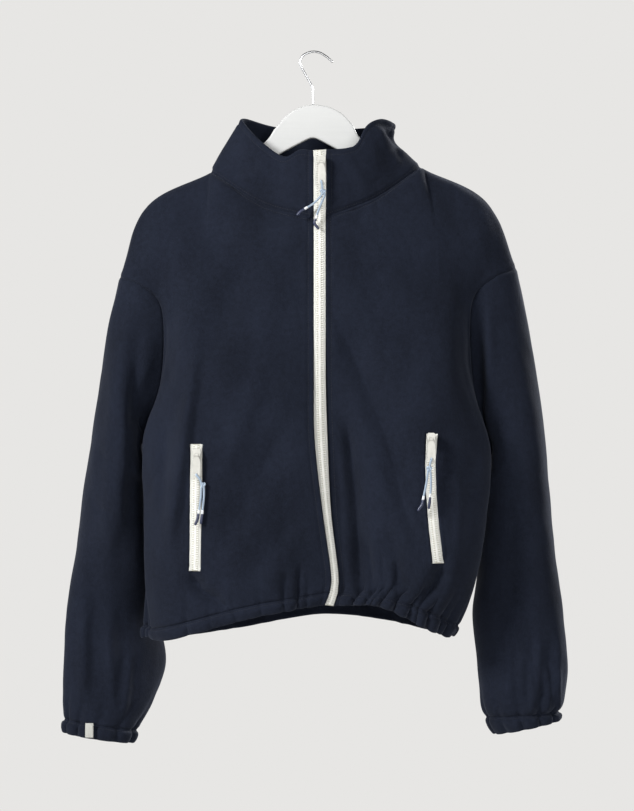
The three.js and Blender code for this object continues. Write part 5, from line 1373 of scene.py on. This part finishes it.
for side, pull in PULLS.items():
    moulded(f"slider_{side}", f"slider_body_{side}", "jacket")
    moulded(f"pull_tab_{side}", f"tab_{side}", pull["body"])

# Folded label on the left cuff: a strip down the front, round the fold and up behind
low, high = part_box("cuff_label")
corners = np.array([v.co for v in frame["nodes"]["cuff_label"].data.vertices]) * 1000
levels = np.unique(np.round(corners[:, 2], 1))
depth_at = [corners[np.abs(corners[:, 2] - z) < 0.3, 1].mean() for z in levels]
x0, x1 = low.x * 1000, high.x * 1000
z_top, z_low = levels[-1], levels[0]
front_z = np.linspace(z_top, z_low + 0.6, 26)
front_y = np.interp(front_z, levels, depth_at) - 2.6
turn = np.linspace(0, math.pi, 9)[1:-1]
turn_y = np.interp(z_low, levels, depth_at) - 2.18 - 0.42 * np.cos(turn)
turn_z = z_low + 0.6 - 0.55 * np.sin(turn)
profile_y = np.r_[front_y, turn_y, (front_y + 0.84)[::-1]]
profile_z = np.r_[front_z, turn_z, front_z[::-1]]
way = unit(np.stack([np.gradient(profile_y), np.gradient(profile_z)], axis=1))
facing = np.stack([way[:, 1], -way[:, 0]], axis=1)
columns = 7
points, uv = [], []
for layer in (0.17, -0.17):
    for k in range(len(profile_y)):
        for c in range(columns):
            share = c / (columns - 1)
            points.append((x0 + (x1 - x0) * share, profile_y[k] + facing[k, 0] * layer,
                           profile_z[k] + facing[k, 1] * layer))
            uv.append((share * 10, k * 0.7))
faces = shell_faces(len(profile_y), columns)
label = mesh_piece("folded_label", points, faces, LABEL_CLOTH, "jacket", uv)
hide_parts("cuff_label")
label_stitches = Stitches()
label_line = np.array([(x, front_y[1] - 0.2, z_top - 1.2) for x in (x0 + 0.8, x1 - 0.8)])
label_stitches.along(np.linspace(*label_line, 9), np.tile([0.0, -1, 0], (9, 1)), 2.0, 1.5, 0.45)
sewn_label = label_stitches.build("label_stitches")

# Hanger: a flat board with rounded edges and a wire hook
outline = np.array([(p["x"], p["z"]) for p in BOARD_TOP + BOARD_LOW], float)
closed = np.vstack([outline[-2:], outline, outline[:3]])
sharp = np.full(len(closed), 0.25)
RUN = 160
runs = np.r_[np.linspace(1.5, 1.5 + len(BOARD_TOP), RUN, endpoint=False),
             np.linspace(1.5 + len(BOARD_TOP), 1.5 + len(outline), RUN, endpoint=False)]
fine_line = curve_at(closed, runs, sharp)
middle = fine_line.mean(axis=0)
tangent = unit(np.roll(fine_line, -1, axis=0) - np.roll(fine_line, 1, axis=0))
inward = np.stack([tangent[:, 1], -tangent[:, 0]], axis=1)
if np.mean(np.sum(inward * (middle - fine_line), axis=1)) < 0:
    inward = -inward
points, faces = [], []
BOARD_THICK = 10
ROUND = 2.0
profile = [(-BOARD_THICK / 2 + ROUND - ROUND * math.cos(a), ROUND - ROUND * math.sin(a))
           for a in np.linspace(0, math.pi / 2, 6)]
profile.insert(0, (-BOARD_THICK / 2, ROUND + 1.2))
profile += [(-y, inset) for y, inset in profile[::-1]]
for y, inset in profile:
    for p, n in zip(fine_line, inward):
        q = p + n * inset
        points.append((q[0], y, q[1]))
n = len(fine_line)
for k in range(len(profile) - 1):
    for m in range(n):
        o = (m + 1) % n
        faces.append((k * n + m, k * n + o, (k + 1) * n + o, (k + 1) * n + m))
for first, order in ((0, -1), ((len(profile) - 1) * n, 1)):
    for m in range(RUN):
        cap = [first + m, first + m + 1, first + (n - m - 1) % n, first + (n - m) % n]
        faces.append(tuple(dict.fromkeys(cap))[::order])
board = mesh_piece("hanger_wood", points, faces, PAINT, "jacket")
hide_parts("hanger_board")

hook_path = dense([(p["x"], 0, p["z"]) for p in HOOK], 1.0)
hook = tube("hanger_wire", hook_path, 1.4, STEEL, "jacket", sides=20, rounded=(False, True))
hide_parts("hanger_hook")


# Floor, light and backdrop
def area_light(name, place, aim, size, power):
    made = bpy.data.objects.new(name, bpy.data.lights.new(name, "AREA"))
    made.data.shape = "DISK"
    made.data.size = size
    made.data.energy = power
    made.location = place
    way = np.array(aim) - np.array(place)
    made.rotation_euler = (math.atan2(math.hypot(way[0], way[1]), -way[2]), 0,
                           math.atan2(way[0], -way[1]) + math.pi)
    made.visible_camera = False
    bpy.context.scene.collection.objects.link(made)


area_light("key", (-2.1, -1.75, 0.9), (0, 0, -0.42), 0.8, 126)
area_light("fill", (0.9, -2.9, 0.1), (0, 0, -0.45), 1.6, 42)
area_light("back_key", (2.1, 1.7, 0.9), (0, 0, -0.42), 0.7, 130)
area_light("back_fill", (-1.8, 2.4, -0.2), (0, 0, -0.5), 1.6, 14)

# A pale cyclorama all round at the jacket's height, dimmer overhead
world = bpy.data.worlds.new("backdrop")
world.use_nodes = True
nodes, links = world.node_tree.nodes, world.node_tree.links
sky = nodes["Background"]
sky.inputs["Color"].default_value = (0.799, 0.791, 0.776, 1)
look = nodes.new("ShaderNodeTexCoord")
parts = nodes.new("ShaderNodeSeparateXYZ")
band = nodes.new("ShaderNodeMapRange")
for socket, value in (("From Min", 0.17), ("From Max", 0.34), ("To Min", 1.0), ("To Max", 0.10)):
    band.inputs[socket].default_value = value
links.new(look.outputs["Generated"], parts.inputs[0])
links.new(parts.outputs["Z"], band.inputs["Value"])
links.new(band.outputs["Result"], sky.inputs["Strength"])
bpy.context.scene.world = world
bpy.context.scene.view_settings.view_transform = "Standard"

FLOOR = new_material("floor", (0.78, 0.77, 0.75), 0.8)
floor_mark = noise(FLOOR, 3, 3)
tint(FLOOR, [(floor_mark, 1)], [(0.3, (0.76, 0.75, 0.73)), (0.7, (0.80, 0.79, 0.77))])
bpy.ops.mesh.primitive_circle_add(vertices=96, radius=6.4, fill_type="NGON", location=(0, 0, -2.2))
floor = bpy.context.object
floor.name = "floor"
floor.data.materials.append(FLOOR)
